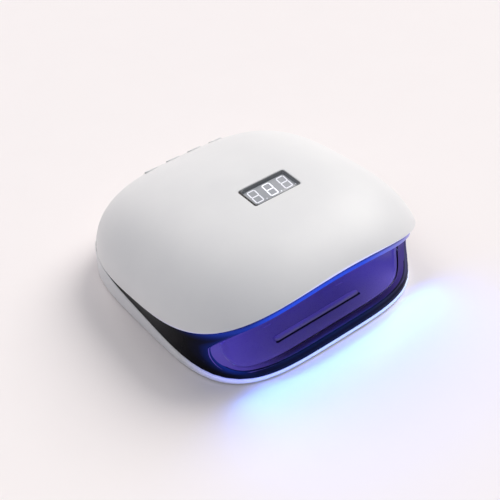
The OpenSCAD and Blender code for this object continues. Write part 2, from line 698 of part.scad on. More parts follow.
// Frame of a light: on the reflector's inner face, its Z square out of the chamber
light_turn = 44.4;
function wall_turn(run) = atan((ceiling_z - wall_seam_z) / ((1 - flat_share) * run) * tan(light_turn));
side_turn = wall_turn(chamber_half - reflector_wall);
rear_turn = wall_turn(chamber_rear - reflector_wall);
function around(span_in, half) = half * (flat_share + (1 - flat_share) * sin(span_in));
function light_z(a) = ceiling_z - (ceiling_z - wall_seam_z) * (1 - cos(a));
side_light_x = around(light_turn, chamber_half - reflector_wall);
rear_light_y = around(light_turn, chamber_rear - reflector_wall);
chamber_mid = (chamber_rear - chamber_front) / 2;
ceiling_behind_mid = 6.25;
side_behind_mid = 2.25;
ceiling_y0 = chamber_mid + ceiling_behind_mid;
ceiling_lights = [for (i = [0:light_cols - 1]) for (j = [0:light_rows - 1])
    [(i - (light_cols - 1) / 2) * light_col_pitch,
        ceiling_y0 + (j - (light_rows - 1) / 2) * light_row_pitch]];
side_y0 = chamber_mid + side_behind_mid;
side_places = [for (i = [0:side_lights - 1]) side_y0 + (i - (side_lights - 1) / 2) * side_light_pitch];
rear_places = [for (i = [0:rear_lights - 1]) (i - (rear_lights - 1) / 2) * rear_light_pitch];
curve_wall = reflector_wall * 0.4;
module on_side(side, y) {
    translate([side * side_light_x, y, light_z(light_turn)]) rotate([0, side * side_turn, 0])
        translate([0, 0, curve_wall]) children();
}
module on_rear(x) {
    translate([x, rear_light_y, light_z(light_turn)]) rotate([-rear_turn, 0, 0])
        translate([0, 0, curve_wall]) children();
}
module at_lights() {
    for (p = ceiling_lights) translate([p.x, p.y, ceiling_z]) children();
    for (side = [-1, 1]) for (y = side_places) on_side(side, y) children();
    for (x = rear_places) on_rear(x) children();
}
light_board_z = reflector_wall + slide_fit;
ceiling_board_w = (light_cols - 1) * light_col_pitch + 16;
ceiling_board_d = (light_rows - 1) * light_row_pitch + 14;
strip_w = 16;
side_strip_len = (side_lights - 1) * side_light_pitch + 14;
rear_strip_len = (rear_lights - 1) * rear_light_pitch + 14;
peg_r = 1.2;
strip_peg_root = 1.4;
ceiling_pegs = [for (sx = [-1, 1]) for (sy = [-1, 1])
    [sx * (ceiling_board_w / 2 - 3), ceiling_y0 + sy * (ceiling_board_d / 2 - 3)]];
module peg(low) {
    translate([0, 0, low]) cylinder(h = light_board_z + board_t + 0.7 - low, r = peg_r, $fn = 20);
}
module at_ceiling_pegs() {
    for (p = ceiling_pegs) translate([p.x, p.y, ceiling_z]) children();
}
module at_strip_pegs() {
    for (side = [-1, 1]) for (k = [-1, 1]) on_side(side, side_y0 + k * (side_strip_len / 2 - 3)) children();
    for (k = [-1, 1]) on_rear(k * (rear_strip_len / 2 - 3)) children();
}
sensor_back = 14.5;
sensor_y = sensor_back - chamber_front;
sensor_w = 16;
sensor_d = 7;

module reflector() {
    shares = chamber_shares;
    back = len(shares) - 1;
    outer = [for (s = shares) [for (b = bearings) let (p = chamber_plan(b))
        concat(p * s, s == 1 ? reflector_edge_z(p)
            : ceiling_z + reflector_wall - (ceiling_z - reflector_edge_z(p)) * edge_rise(s))]];
    inner = [for (k = [0:back]) let (s = shares[back - k]) [for (b = bearings)
        let (p = chamber_plan(b), q = chamber_plan(b, reflector_wall))
        concat(q * s, ceiling_z - (ceiling_z - reflector_edge_z(p)) * edge_rise(s))]];
    color("gainsboro") difference() {
        union() {
            dome_skin([0, 0, ceiling_z + reflector_wall], concat(outer, inner), [0, 0, ceiling_z]);
            at_ceiling_pegs() peg(reflector_wall / 2);
            at_strip_pegs() peg(-strip_peg_root);
        }
        at_lights() translate([0, 0, -3]) cylinder(h = 6, r = lens_r + 0.4, $fn = 32);
        translate([0, sensor_y, ceiling_z - 1])
            rounded_block(sensor_w + 2 * fit, sensor_d + 2 * fit, 2, reflector_wall + 3);
    }
}

module led_strip(length, width) {
    translate([-width / 2, -length / 2, light_board_z]) cube([width, length, board_t]);
}
module ceiling_led_board() {
    color("white") difference() {
        translate([-ceiling_board_w / 2, ceiling_y0 - ceiling_board_d / 2, ceiling_z + light_board_z])
            cube([ceiling_board_w, ceiling_board_d, board_t]);
        at_ceiling_pegs() cylinder(h = 9, r = peg_r + 0.15, $fn = 20);
    }
}
module side_led_board(side) {
    color("white") difference() {
        on_side(side, side_y0) led_strip(side_strip_len, strip_w);
        at_strip_pegs() cylinder(h = 9, r = peg_r + 0.15, $fn = 20);
    }
}
module left_led_board() { side_led_board(-1); }
module right_led_board() { side_led_board(1); }
module rear_led_board() {
    color("white") difference() {
        on_rear(0) rotate([0, 0, 90]) led_strip(rear_strip_len, strip_w);
        at_strip_pegs() cylinder(h = 9, r = peg_r + 0.15, $fn = 20);
    }
}
emitter_t = 1.2;
module led_emitters() {
    color("khaki") at_lights() translate([-2.5, -2.5, light_board_z - emitter_t])
        cube([5, 5, emitter_t]);
}
lens_skirt = 0.8;
module led_lenses() {
    dome = [for (a = [0:15:90]) [lens_r * cos(a), -lens_skirt - 0.6 * lens_r * sin(a)]];
    color([0.75, 0.78, 1, 0.8]) at_lights() translate([0, 0, light_board_z - emitter_t])
        rotate_extrude($fn = 24) polygon(concat([[0, 0], [lens_r, 0]], dome));
}
module sensor_housing() {
    color([0.08, 0.08, 0.09]) translate([0, sensor_y, ceiling_z]) difference() {
        union() {
            translate([0, 0, -0.4]) rounded_block(sensor_w, sensor_d, 2, reflector_wall + 0.4);
            translate([0, 0, reflector_wall])
                rounded_block(sensor_w + 4, sensor_d + 3, 2, 3.4);
        }
        for (side = [-1, 1]) translate([side * 4, 0, -1])
            cylinder(h = 4, r = 1.6, $fn = 24);
    }
}
module sensor_lenses() {
    color([0.25, 0.1, 0.2]) for (side = [-1, 1]) translate([side * 4, sensor_y, ceiling_z + 3])
        rotate_extrude($fn = 24) polygon(concat([[0, 0], [1.5, 0]],
            [for (a = [0:18:90]) [1.5 * cos(a), -3 - 1.2 * sin(a)]]));
}

// Display and control board

module display_bezel() {
    low = lamp_h - bezel_deep;
    flange_top = under_cover_z([window_w / 2 + 2.5, -window_y - window_d / 2 - 2.5]) - fit;
    color([0.17, 0.19, 0.2]) translate([0, -window_y, 0]) difference() {
        union() {
            translate([0, 0, low - bezel_t])
                rounded_block(window_w - fit, window_d - fit, window_r, bezel_deep + bezel_t - 0.25);
            translate([0, 0, low - bezel_t])
                rounded_block(window_w + 5, window_d + 5, window_r + 1, flange_top - low + bezel_t);
        }
        hull() {
            translate([0, 0, lamp_h - 0.2])
                rounded_block(window_w - 1.2, window_d - 1.2, window_r - 0.5, 0.1);
            translate([0, 0, low])
                rounded_block(window_w - 2 * bezel_w, window_d - 2 * bezel_w, 0.8, 0.1);
        }
        translate([0, 0, low - bezel_t - 1])
            rounded_block(window_w - 2 * bezel_w, window_d - 2 * bezel_w, 0.8, 4);
    }
}
module display_panel() {
    face_w = window_w - 2 * bezel_w - 2 * slide_fit;
    face_d = window_d - 2 * bezel_w - 2 * slide_fit;
    color([0.6, 0.61, 0.64]) translate([0, -window_y, panel_top - panel_t - 0.05]) {
        rounded_block(panel_w, panel_d, 0.6, panel_t);
        rounded_block(face_w, face_d, 0.7, panel_t + bezel_t - slide_fit);
    }
}
module display_backlight() {
    high = panel_top - panel_t - 0.1;
    color("whitesmoke") translate([-panel_w / 2 - 1, -window_y - panel_d / 2 - 1, control_top + 0.05])
        cube([panel_w + 2, panel_d + 2, high - control_top - 0.05]);
}
module control_board() {
    color("darkgreen") difference() {
        translate([-control_w / 2, control_y - control_d / 2, control_under])
            cube([control_w, control_d, board_t]);
        for (p = control_posts) translate([p.x, p.y, control_under - 1])
            cylinder(h = 4, r = control_screw_r + 0.2, $fn = 24);
    }
}
module control_board_screws() {
    color("silver") for (p = control_posts) translate([p.x, p.y, control_under - 1.5])
        screw_up(control_screw_r, 1.4, board_t + 0.1 + control_bite);
}
// Block hanging under the control board: place, size, height
module under_board(x, y, w, d, h) {
    translate([x - w / 2, control_y + y - d / 2, control_under - h]) cube([w, d, h]);
}
module control_chips() {
    color([0.1, 0.1, 0.1]) {
        under_board(-14, 10, 10, 10, 1.6);
        under_board(8, 8, 5, 4, 1.4);
        under_board(8, 18, 5, 4, 1.4);
        under_board(-30, -2, 6.5, 6, 2.3);
        under_board(-30, 10, 6.5, 6, 2.3);
    }
}
module power_coils() {
    color([0.2, 0.2, 0.22]) for (x = [20, 34]) translate([x, control_y - 2, control_under - 5]) {
        cylinder(h = 1, r = 5, $fn = 32);
        cylinder(h = 5, r = 3.6, $fn = 32);
        translate([0, 0, 4]) cylinder(h = 1, r = 5, $fn = 32);
    }
}
module board_capacitors() {
    color([0.15, 0.17, 0.3]) for (x = [22, 34]) translate([x, control_y + 12, control_under - 9]) {
        cylinder(h = 9, r = 4, $fn = 32);
    }
}
connector_h = 5;
connectors = [for (q = [[30, 26], [-34, 26], [34, -20], [-34, -20], [-6, 26], [-20, 26]])
    [q.x, control_y + q.y]];
module board_connectors() {
    color("ivory") for (p = connectors) under_board(p.x, p.y - control_y, 8, 5, connector_h);
}
module buzzer() {
    color([0.1, 0.1, 0.11]) translate([-14, control_y - 8, control_under - 5]) difference() {
        cylinder(h = 5, r = 4.5, $fn = 32);
        translate([0, 0, -1]) cylinder(h = 2, r = 1, $fn = 16);
    }
}

// Buttons

module button_board() {
    color("darkgreen") on_button_row() difference() {
        translate([-button_board_w / 2, -6.5, button_board_z - board_t])
            cube([button_board_w, 13, board_t]);
        for (side = [-1, 1]) translate([side * button_post_x, 0, button_board_z - 3])
            cylinder(h = 4, r = control_screw_r + 0.2, $fn = 24);
    }
}
module button_board_screws() {
    color("silver") on_button_row() for (side = [-1, 1])
        translate([side * button_post_x, 0, button_board_z - board_t - 1.5])
            screw_up(control_screw_r, 1.4, board_t + 4);
}
module switch_bodies() {
    color([0.15, 0.15, 0.16]) on_button_row() for (x = button_places)
        translate([x, 0, button_board_z]) difference() {
            translate([-switch_w / 2, -switch_w / 2, 0]) cube([switch_w, switch_w, switch_h]);
            translate([0, 0, switch_h - plunger_in - button_travel - fit])
                cylinder(h = 5, r = plunger_r + slide_fit, $fn = 32);
        }
}
plunger_low = button_board_z + switch_h - plunger_in;
plunger_top = button_board_z + switch_h + plunger_up;
module plunger(index) {
    color("ivory") on_button_row() translate([button_places[index], 0, plunger_low])
        cylinder(h = plunger_top - plunger_low, r = plunger_r, $fn = 32);
}
module button(index) {
    x = button_places[index];
    end = button_w / 2 + flange_w;
    level = row_drop(x);
    flange_top = min(row_drop(x - end), row_drop(x + end)) - cover_wall - 0.6;
    color("white") on_button_row() translate([x, 0, 0]) {
        translate([0, 0, flange_top - flange_t / 2])
            pill(button_w, button_d, level + button_proud - flange_top + flange_t / 2);
        translate([0, 0, flange_top - flange_t])
            pill(button_w + 2 * flange_w, button_d + 2 * flange_w, flange_t);
        translate([0, 0, plunger_top])
            cylinder(h = flange_top - flange_t / 2 - plunger_top, r = plunger_r + 0.4, $fn = 32);
    }
}
module button_10s() { button(0); }
module button_30s() { button(1); }
module button_60s() { button(2); }
module button_99s() { button(3); }
module plunger_10s() { plunger(0); }
module plunger_30s() { plunger(1); }
module plunger_60s() { plunger(2); }
module plunger_99s() { plunger(3); }

// Power socket

socket_long = 15;
socket_flange_t = 1.6;
plug_deep = 10;
socket_tail_y = socket_face_y - socket_long;
module power_socket() {
    color([0.1, 0.1, 0.1]) difference() {
        union() {
            socket_axis(socket_face_y) cylinder(h = socket_flange_t, r = socket_seat_r, $fn = 48);
            socket_axis(socket_tail_y) cylinder(h = socket_long + 0.5, r = socket_r, $fn = 48);
        }
        socket_axis(socket_face_y + socket_flange_t - plug_deep)
            cylinder(h = plug_deep + 2, r = plug_r, $fn = 48);
        socket_axis(socket_face_y + socket_flange_t - plug_deep - 3) cylinder(h = 4, r = 1, $fn = 24);
    }
}
module socket_pin() {
    color("silver") socket_axis(socket_face_y + socket_flange_t - plug_deep - 2.9)
        cylinder(h = plug_deep + 2, r = 0.95, $fn = 24);
}
module socket_nut() {
    color("silver") difference() {
        socket_axis(socket_pad_y - 2.1) cylinder(h = 2, r = socket_r + 1.8, $fn = 6);
        socket_axis(socket_pad_y - 4) cylinder(h = 6, r = socket_r + 0.05, $fn = 48);
    }
}

// Leads inside the housing, through points chosen along their way

lead_z = control_under - connector_h - fit;
over_ceiling = ceiling_z + 7;
function plug_in(p, lean) = let (end = [p.x, p.y, lead_z]) [end, end + [0, 0, -2], end + lean + [0, 0, -4]];
function turned(path) = [for (i = [1:len(path)]) path[len(path) - i]];
// Points over the boards, by their place along and across the board and their height over it
board_back = curve_wall + light_board_z + board_t + fit;
function over_side(side, y, across, up) =
    let (c = cos(side_turn), s = sin(side_turn), w = board_back + up)
    [side * (side_light_x - across * c + w * s), y, light_z(light_turn) + across * s + w * c];
function over_rear(x, across, up) =
    let (c = cos(rear_turn), s = sin(rear_turn), w = board_back + up)
    [x, rear_light_y - across * c + w * s, light_z(light_turn) + across * s + w * c];
function behind_row(x, across, deep) =
    let (c = cos(button_tilt), s = sin(button_tilt), w = button_board_z - board_t - fit - deep)
    [x, button_y - across * c + w * s, button_z + across * s + w * c];
module power_lead() {
    start = [0, socket_tail_y - fit, socket_z];
    color([0.12, 0.12, 0.12]) tube(concat([start, start + [0, -3, 0],
        [1, chamber_rear + 13, socket_z + 2], [6, chamber_rear + 5, socket_z + 14],
        [12, chamber_rear, socket_z + 24], [20, chamber_rear - 11, over_ceiling - 3.5],
        [26, chamber_rear - 30, over_ceiling]], turned(plug_in(connectors[0], [0, 2, 0]))), 1.6);
}
// Lead from a connector over the ceiling to one of the side boards
module side_lead(side, from) {
    color([0.75, 0.1, 0.1]) tube(concat(plug_in(from, [side, 0, 0]), [
        [side * (side_light_x - 42), -27, over_ceiling],
        [side * (side_light_x - 32), -25, over_ceiling + 0.5], [side * (side_light_x - 22), -22, over_ceiling],
        [side * (side_light_x - 9.6), -16, over_ceiling - 3],
        over_side(side, -12, 5, 4), over_side(side, -12, 5, 2), over_side(side, -12, 5, 0)]), 1);
}
module led_leads() {
    low = ceiling_z + light_board_z + board_t + fit;
    side_lead(-1, connectors[3]);
    side_lead(1, connectors[2]);
    color([0.75, 0.1, 0.1]) {
        tube(concat(plug_in(connectors[1], [-2, 0, 0]), [[-41, 19, low + 3.5], [-44, 18, low + 2],
            [-44, 18, low]]), 1);
        tube(concat(plug_in(connectors[4], [0, 2, 0]), [
            [-6, rear_light_y - 23, over_ceiling], [-6, rear_light_y - 11, over_ceiling - 1.6],
            over_rear(-6, 5, 5), over_rear(-6, 5, 2), over_rear(-6, 5, 0)]), 1);
    }
}
module button_lead() {
    x = connectors[5].x;
    color("dimgray") tube(concat(plug_in(connectors[5], [0, 2, 0]), [[x, chamber_rear - 28, over_ceiling - 0.5],
        [x, chamber_rear - 12, over_ceiling - 4], [x, chamber_rear, over_ceiling - 13],
        [x, chamber_rear + 6, over_ceiling - 20],
        behind_row(x, 4, 4), behind_row(x, 4, 2), behind_row(x, 4, 0)]), 1.2);
}

base_pan();
floor_tray();
tray_screws();
rubber_feet();
base_magnets();
side_band();
mouth_ring();
top_cover();
chassis();
housing_magnets();
reflector();
ceiling_led_board();
left_led_board();
right_led_board();
rear_led_board();
led_emitters();
led_lenses();
display_bezel();
display_panel();
display_backlight();
control_board();
control_chips();
power_coils();
board_capacitors();
board_connectors();
buzzer();
control_board_screws();
button_board();
switch_bodies();
button_board_screws();
button_10s();
button_30s();
button_60s();
button_99s();
plunger_10s();
plunger_30s();
plunger_60s();
plunger_99s();
power_socket();
socket_pin();
socket_nut();
sensor_housing();
sensor_lenses();
case_screws();
power_lead();
led_leads();
button_lead();
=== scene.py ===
# %% [markdown]
# A lamp that cures nail varnish: a white domed cover, a dark band with a wide mouth, a shallow
# base and a hand chamber full of small lights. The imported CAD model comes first, as a fixed frame.
# Everything else is made round it, in the same place and at the same size.

# %% The frame
import math
import bmesh
import bpy
from mathutils import Matrix, Vector


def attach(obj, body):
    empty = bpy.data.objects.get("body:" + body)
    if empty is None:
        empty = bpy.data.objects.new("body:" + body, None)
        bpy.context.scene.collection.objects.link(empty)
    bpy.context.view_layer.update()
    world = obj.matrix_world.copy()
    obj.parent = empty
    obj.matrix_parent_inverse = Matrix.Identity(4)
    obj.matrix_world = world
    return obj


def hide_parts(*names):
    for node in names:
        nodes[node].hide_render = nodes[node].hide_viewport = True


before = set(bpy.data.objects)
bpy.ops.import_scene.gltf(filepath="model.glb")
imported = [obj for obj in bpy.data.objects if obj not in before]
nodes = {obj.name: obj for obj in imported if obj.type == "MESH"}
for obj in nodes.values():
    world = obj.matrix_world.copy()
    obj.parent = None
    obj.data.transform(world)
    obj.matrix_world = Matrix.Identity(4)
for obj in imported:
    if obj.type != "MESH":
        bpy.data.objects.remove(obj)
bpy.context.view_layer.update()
MM = 0.001

# %% [markdown]
# The camera stands where the photograph was taken: in front of the lamp's left corner, looking
# down at about forty-one degrees. Its place and its long lens were solved from the lamp's outline.
# Building it first lets every later piece be judged in the right view.

# %% Camera
AZIMUTH, ELEVATION = math.radians(-39.007), math.radians(41.395)
CAMERA_PLACE = Vector((-0.40845, -0.50234, 0.59101))
FOCAL_PIXELS, FRAME_PIXELS, SENSOR_WIDTH = 1070.03, 500, 36
back = Vector((math.sin(AZIMUTH) * math.cos(ELEVATION),
               -math.cos(AZIMUTH) * math.cos(ELEVATION), math.sin(ELEVATION)))
right = Vector((math.cos(AZIMUTH), math.sin(AZIMUTH), 0))
turn = Matrix((right, back.cross(right), back)).transposed().to_4x4()
camera_data = bpy.data.cameras.new("photo_camera")
camera_data.sensor_width = SENSOR_WIDTH
camera_data.lens = FOCAL_PIXELS / FRAME_PIXELS * SENSOR_WIDTH
camera_data.clip_start, camera_data.clip_end = 0.05, 60
camera = bpy.data.objects.new("photo_camera", camera_data)
camera.matrix_world = Matrix.Translation(CAMERA_PLACE) @ turn
bpy.context.scene.collection.objects.link(camera)
bpy.context.scene.camera = camera
print("lens", round(camera_data.lens, 2), "mm")

# %% [markdown]
# The lamp's plan is a rounded square, a superellipse that widens a little to the front. The dome,
# the sweeping edge and the base follow smooth formulas, in millimetres, which are the CAD's own.
# They could be traced by hand with curves, but the formulas keep every piece in its neighbour's
# shape.

# %% Outlines in plan
COVER_HALF, COVER_REACH, CROWN_Z, COVER_WALL = 114.7, 108.3, 97.5, 2.2
COVER_SQUARE, COVER_FLARE = 3.1, 0.036
BASE_HALF, BASE_REACH, BASE_SQUARE, BASE_FLARE = 108.2, 106.6, 3.9, 0.007
CHAMBER_HALF, CHAMBER_FRONT, CHAMBER_REAR, CHAMBER_SQUARE = 96.0, 94.5, 66.0, 5.0


def outline(half, front, rear, square, flare, bearing):
    """Where a rounded square stands at a bearing. A square of 2 is an ellipse, more is squarer."""
    c, s = math.cos(bearing), math.sin(bearing)
    reach = front if s < 0 else rear
    r = ((abs(c) / half) ** square + (abs(s) / reach) ** square) ** (-1 / square)
    return Vector((r * c * (1 - 2 * flare * r * s / (front + rear)), r * s))


def cover_plan(b, inset=0.0):
    return outline(COVER_HALF - inset, COVER_REACH - inset, COVER_REACH - inset,
                   COVER_SQUARE, COVER_FLARE, b)


def base_plan(b, inset=0.0):
    return outline(BASE_HALF - inset, BASE_REACH - inset, BASE_REACH - inset,
                   BASE_SQUARE, BASE_FLARE, b)


def chamber_plan(b, inset=0.0):
    return outline(CHAMBER_HALF - inset, CHAMBER_FRONT - inset, CHAMBER_REAR - inset,
                   CHAMBER_SQUARE, 0.0, b)


def bearings(count):
    return [2 * math.pi * i / count for i in range(count)]


print("cover plan at the front corner", cover_plan(math.radians(-45)))


# %% Heights of the edges and of the dome
RIM_REAR_Z, RIM_CORNER_Z, RIM_ARCH, RIM_SWEEP, ARCH_SWEEP = 27.4, 54.5, 21.9, 1.75, 1.09
BASE_FRONT_Z, BASE_SWEEP, REAR_GAP = 5.4, 1.13, 1
CROWN_ROUND, CROWN_TILT, SHOULDER_ROUND, SHOULDER_TILT = 2.6, 1.2, 1.69, 0.59
SMALL_SHARE = 1e-4


def rim_z(p):
    """Height of the cover's swept edge over a place on its outline."""
    climb = min(1, max(0, (COVER_REACH - p.y) / (2 * COVER_REACH)))
    front = max(0, -p.y / COVER_REACH)
    across = max(0, 1 - (p.x / COVER_HALF) ** 2)
    sweep = (RIM_CORNER_Z - RIM_REAR_Z) * climb ** RIM_SWEEP
    return RIM_REAR_Z + sweep + RIM_ARCH * front ** ARCH_SWEEP * across


def base_z(y):
    climb = min(1, max(0, (BASE_REACH + y) / (2 * BASE_REACH)))
    return BASE_FRONT_Z + (RIM_REAR_Z - REAR_GAP - BASE_FRONT_Z) * climb ** BASE_SWEEP


def dome_z(p, share, crown):
    tilt = p.y / COVER_REACH
    edge = rim_z(p)
    fall = min(1, share) ** (CROWN_ROUND - CROWN_TILT * tilt)
    return edge + (crown - edge) * max(0, 1 - fall) ** (1 / (SHOULDER_ROUND + SHOULDER_TILT * tilt))


def cover_share(q):
    """How far out a place lies between the crown, at 0, and the cover's outline, at 1."""
    share = 1.0
    for _ in range(9):
        p = q / share
        wide = COVER_HALF * (1 - COVER_FLARE * p.y / COVER_REACH)
        far = (abs(p.x) / wide) ** COVER_SQUARE + (abs(p.y) / COVER_REACH) ** COVER_SQUARE
        share *= far ** (1 / COVER_SQUARE)
    return share


def cover_z(q):
    share = max(SMALL_SHARE, cover_share(q))
    return dome_z(q / share, share, CROWN_Z)


def under_cover(q):
    """The place one wall below the dome."""
    share = max(SMALL_SHARE, cover_share(q))
    p = q / share
    z = dome_z(p, share, CROWN_Z - COVER_WALL)
    q = (p - p.normalized() * COVER_WALL) * share
    return Vector((q.x, q.y, z))


print("cover height at the window", round(cover_z(Vector((0, -21.2))), 2),
      "edge at the front", round(rim_z(Vector((0, -COVER_REACH))), 2))

# %% [markdown]
# Most walls of the lamp are skins that change from one closed line to the next. Blender makes such
# a skin from one circle: its edges are extruded again and again, and each new ring of points is
# moved to its place. A ring that shrinks to one point closes a pole, and a last ring laid on the
# first one closes a tube. Merging by distance then joins them, and the normals are made to point
# outwards.


# %% A skin grown ring by ring
MERGE_DISTANCE, SOFT_CREASE, BAND_CREASE = 0.002, 35, 60


def next_row(bm, row, edges):
    """Draw the last row of edges out once more, and give the new points in the old order."""
    grown = bmesh.ops.extrude_edge_only(bm, edges=edges)["geom"]
    fresh = {v for v in grown if isinstance(v, bmesh.types.BMVert)}
    row = [next(e.other_vert(v) for e in v.link_edges if e.other_vert(v) in fresh) for v in row]
    edges = [e for e in grown if isinstance(e, bmesh.types.BMEdge)
             and e.verts[0] in fresh and e.verts[1] in fresh]
    return row, edges


def grow_skin(rings, painted_light=None):
    """A skin through closed rings of points, with a painted light value per point if they are given.
    """
    bm = bmesh.new()
    layer = bm.verts.layers.float.new("painted_light") if painted_light else None
    row = bmesh.ops.create_circle(bm, segments=len(rings[0]), radius=1)["verts"]
    edges = list(bm.edges)
    for k, ring in enumerate(rings):
        if k:
            row, edges = next_row(bm, row, edges)
        for j, (v, p) in enumerate(zip(row, ring)):
            v.co = p
            if painted_light:
                v[layer] = painted_light[k][j]
    bmesh.ops.remove_doubles(bm, verts=bm.verts, dist=MERGE_DISTANCE)
    bmesh.ops.recalc_face_normals(bm, faces=bm.faces)
    return bm


def ring_by_ring(lines):
    """The points of many lines, sorted into the rings that cross them."""
    return [list(ring) for ring in zip(*lines)]


def pole(z, count):
    """A ring that has shrunk to one point of the middle axis."""
    return [Vector((0, 0, z))] * count


def in_metres(name, bm):
    """An object from a bmesh in millimetres."""
    bmesh.ops.scale(bm, vec=(MM, MM, MM), verts=bm.verts)
    mesh = bpy.data.meshes.new(name)
    bm.to_mesh(mesh)
    bm.free()
    made = bpy.data.objects.new(name, mesh)
    bpy.context.scene.collection.objects.link(made)
    return made


def shade_smooth(mesh, crease):
    """Smooth shading, with edges sharper than the crease angle kept sharp."""
    mesh.polygons.foreach_set("use_smooth", [True] * len(mesh.polygons))
    mesh.set_sharp_from_angle(angle=math.radians(crease))


def as_piece(name, bm, body, replaced=(), crease=SOFT_CREASE):
    """A finished piece that rides on a body and stands for the nodes that it replaces."""
    piece = in_metres(name, bm)
    shade_smooth(piece.data, crease)
    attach(piece, body)
    if replaced:
        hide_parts(*replaced)
    print(name, len(piece.data.polygons), "faces", [round(v / MM, 1) for v in piece.dimensions])
    return piece


def rounded_corner(start, corner, end, steps=3):
    """Points of a small curve that rounds a corner, its ends included."""
    points = []
    for k in range(steps + 1):
        t = k / steps
        points.append(start * (1 - t) ** 2 + corner * 2 * t * (1 - t) + end * t * t)
    return points


# %% [markdown]
# The cover is one white moulding. Its skin is grown from the display window out to the swept edge,
# so that the window's corners stay sharp without a cut. Then it turns in under the edge and comes
# back below, one wall thickness lower. Both the window's lip and the outer edge get a small round.


# %% Cover: lines from the window to the edge
WINDOW_HALF, WINDOW_DEEP, WINDOW_R, WINDOW_MID = 22.3, 11.1, 2.2, Vector((0, -21.2))
EDGE_ROUND, LIP_ROUND, LIP_DROP = 0.9, 0.45, 0.5
COVER_LINES = 288


def window_edge(way, grow=0.0):
    """Where a line from the window's middle meets its rounded outline."""
    a, b, r = WINDOW_HALF + grow, WINDOW_DEEP + grow, max(0.5, WINDOW_R + grow)
    dx, dy = abs(way.x), abs(way.y)
    t = min(a / max(dx, 1e-9), b / max(dy, 1e-9))
    if dx * t > a - r and dy * t > b - r:
        cx, cy = a - r, b - r
        k, m = dx * dx + dy * dy, dx * cx + dy * cy
        t = (m + math.sqrt(max(0, m * m - k * (cx * cx + cy * cy - r * r)))) / k
    return WINDOW_MID + way * t


def raised(q, z):
    return Vector((q.x, q.y, z))


def round_start(edge, inward):
    """How far in from the edge the dome is one edge round away from it."""
    rim, near, far = raised(edge, rim_z(edge)), 0.0, EDGE_ROUND
    for _ in range(14):
        half = (near + far) / 2
        q = edge + inward * half
        if (raised(q, cover_z(q)) - rim).length < EDGE_ROUND:
            near = half
        else:
            far = half
    return far


def ring_shares(reach, round_from):
    """Shares of the way from window to edge: close together at both ends, and wide on the dome."""
    near = [0.5 * (k / 16) ** 1.6 for k in range(3, 17)]
    far = [1 - 0.5 * (1 - k / 22) ** 2 for k in range(1, 19)]
    last, start = 1 - far[-1], round_from / reach
    edge = [1 - last * (start / last) ** (k / 4) for k in range(1, 5)]
    return [LIP_ROUND / reach] + near + far + edge


def cover_line(b):
    """One line over the cover: from under the window's lip, over the dome and round the edge."""
    edge = cover_plan(b)
    way = (edge - WINDOW_MID).normalized()
    lip = window_edge(way)
    shares = ring_shares((edge - lip).length, round_start(edge, -way))
    over = [lip + (edge - lip) * share for share in shares]
    outer = [raised(q, cover_z(q)) for q in over]
    lip_z = cover_z(lip)
    lip_round = rounded_corner(raised(lip, lip_z - LIP_DROP), raised(lip, lip_z), outer[0])
    inward = -edge.normalized()
    rim = raised(edge, rim_z(edge))
    rim_round = rounded_corner(outer[-1], rim, rim + raised(inward * EDGE_ROUND, 0), 5)
    inner_edge = under_cover(edge)
    under = [under_cover(q) for q in reversed(over[1:-1:2])]
    floor = raised(lip, CROWN_Z - COVER_WALL)
    return lip_round[:-1] + outer[:-1] + rim_round + [inner_edge] + under + [floor, lip_round[0]]


# %% Cover: the painted light it catches, and the skin
EDGE_PAINTED_LIGHT_HIGH, EDGE_PAINTED_LIGHT_FULL = 1.4, 0.5


def smooth_step(low, high, value):
    """A soft ramp from 0 at low to 1 at high."""
    t = min(1, max(0, (value - low) / (high - low)))
    return t * t * (3 - 2 * t)


def edge_painted_light(p):
    """How much painted reflection of the mouth's light the cover's edge shows: none at the rear, all
    in front.
    """
    lift = p.z - rim_z(cover_plan(math.atan2(p.y, p.x)))
    if lift >= EDGE_PAINTED_LIGHT_HIGH:
        return 0.0
    return smooth_step(EDGE_PAINTED_LIGHT_HIGH, EDGE_PAINTED_LIGHT_FULL, lift) * smooth_step(-10, -75, p.y)


cover_rings = ring_by_ring(cover_line(b) for b in bearings(COVER_LINES))
cover_skin = grow_skin(cover_rings, [[edge_painted_light(p) for p in ring] for ring in cover_rings])
top_cover = as_piece("cover_shell", cover_skin, "housing", ["top_cover"])

# %% [markdown]
# The four timer buttons stand in long holes on the rear slope. Holes in a curved skin are easiest
# as a Boolean: one cutter of four pills, square to the slope, taken away from the dense skin. The
# same way opens the round seat of the power socket in the rear wall.

# %% Cover: button holes
BUTTON_TILT, BUTTON_MID = math.radians(39.7648), Vector((0, 89.5, 64.4922))
BUTTON_PLACES = [-32.55, -10.85, 10.85, 32.55]
HOLE_W, HOLE_D, HOLE_LOW, HOLE_HIGH = 13.6, 7.0, -7, 5
SOCKET_Z, SOCKET_HOLE_R = 40.0, 7
to_slope = Matrix.Translation(BUTTON_MID) @ Matrix.Rotation(-BUTTON_TILT, 4, "X")


def pill_block(bm, middle, width, depth, low, high):
    """A pill standing on its plan: a circle whose halves are drawn apart, then pulled up."""
    ring = bmesh.ops.create_circle(bm, segments=48, radius=depth / 2)["verts"]
    for v in ring:
        v.co += Vector((middle + math.copysign((width - depth) / 2, v.co.x), 0, low))
    base = bmesh.ops.contextual_create(bm, geom=ring)["faces"]
    top = bmesh.ops.extrude_face_region(bm, geom=base)["geom"]
    lifted = [v for v in top if isinstance(v, bmesh.types.BMVert)]
    bmesh.ops.translate(bm, vec=(0, 0, high - low), verts=lifted)


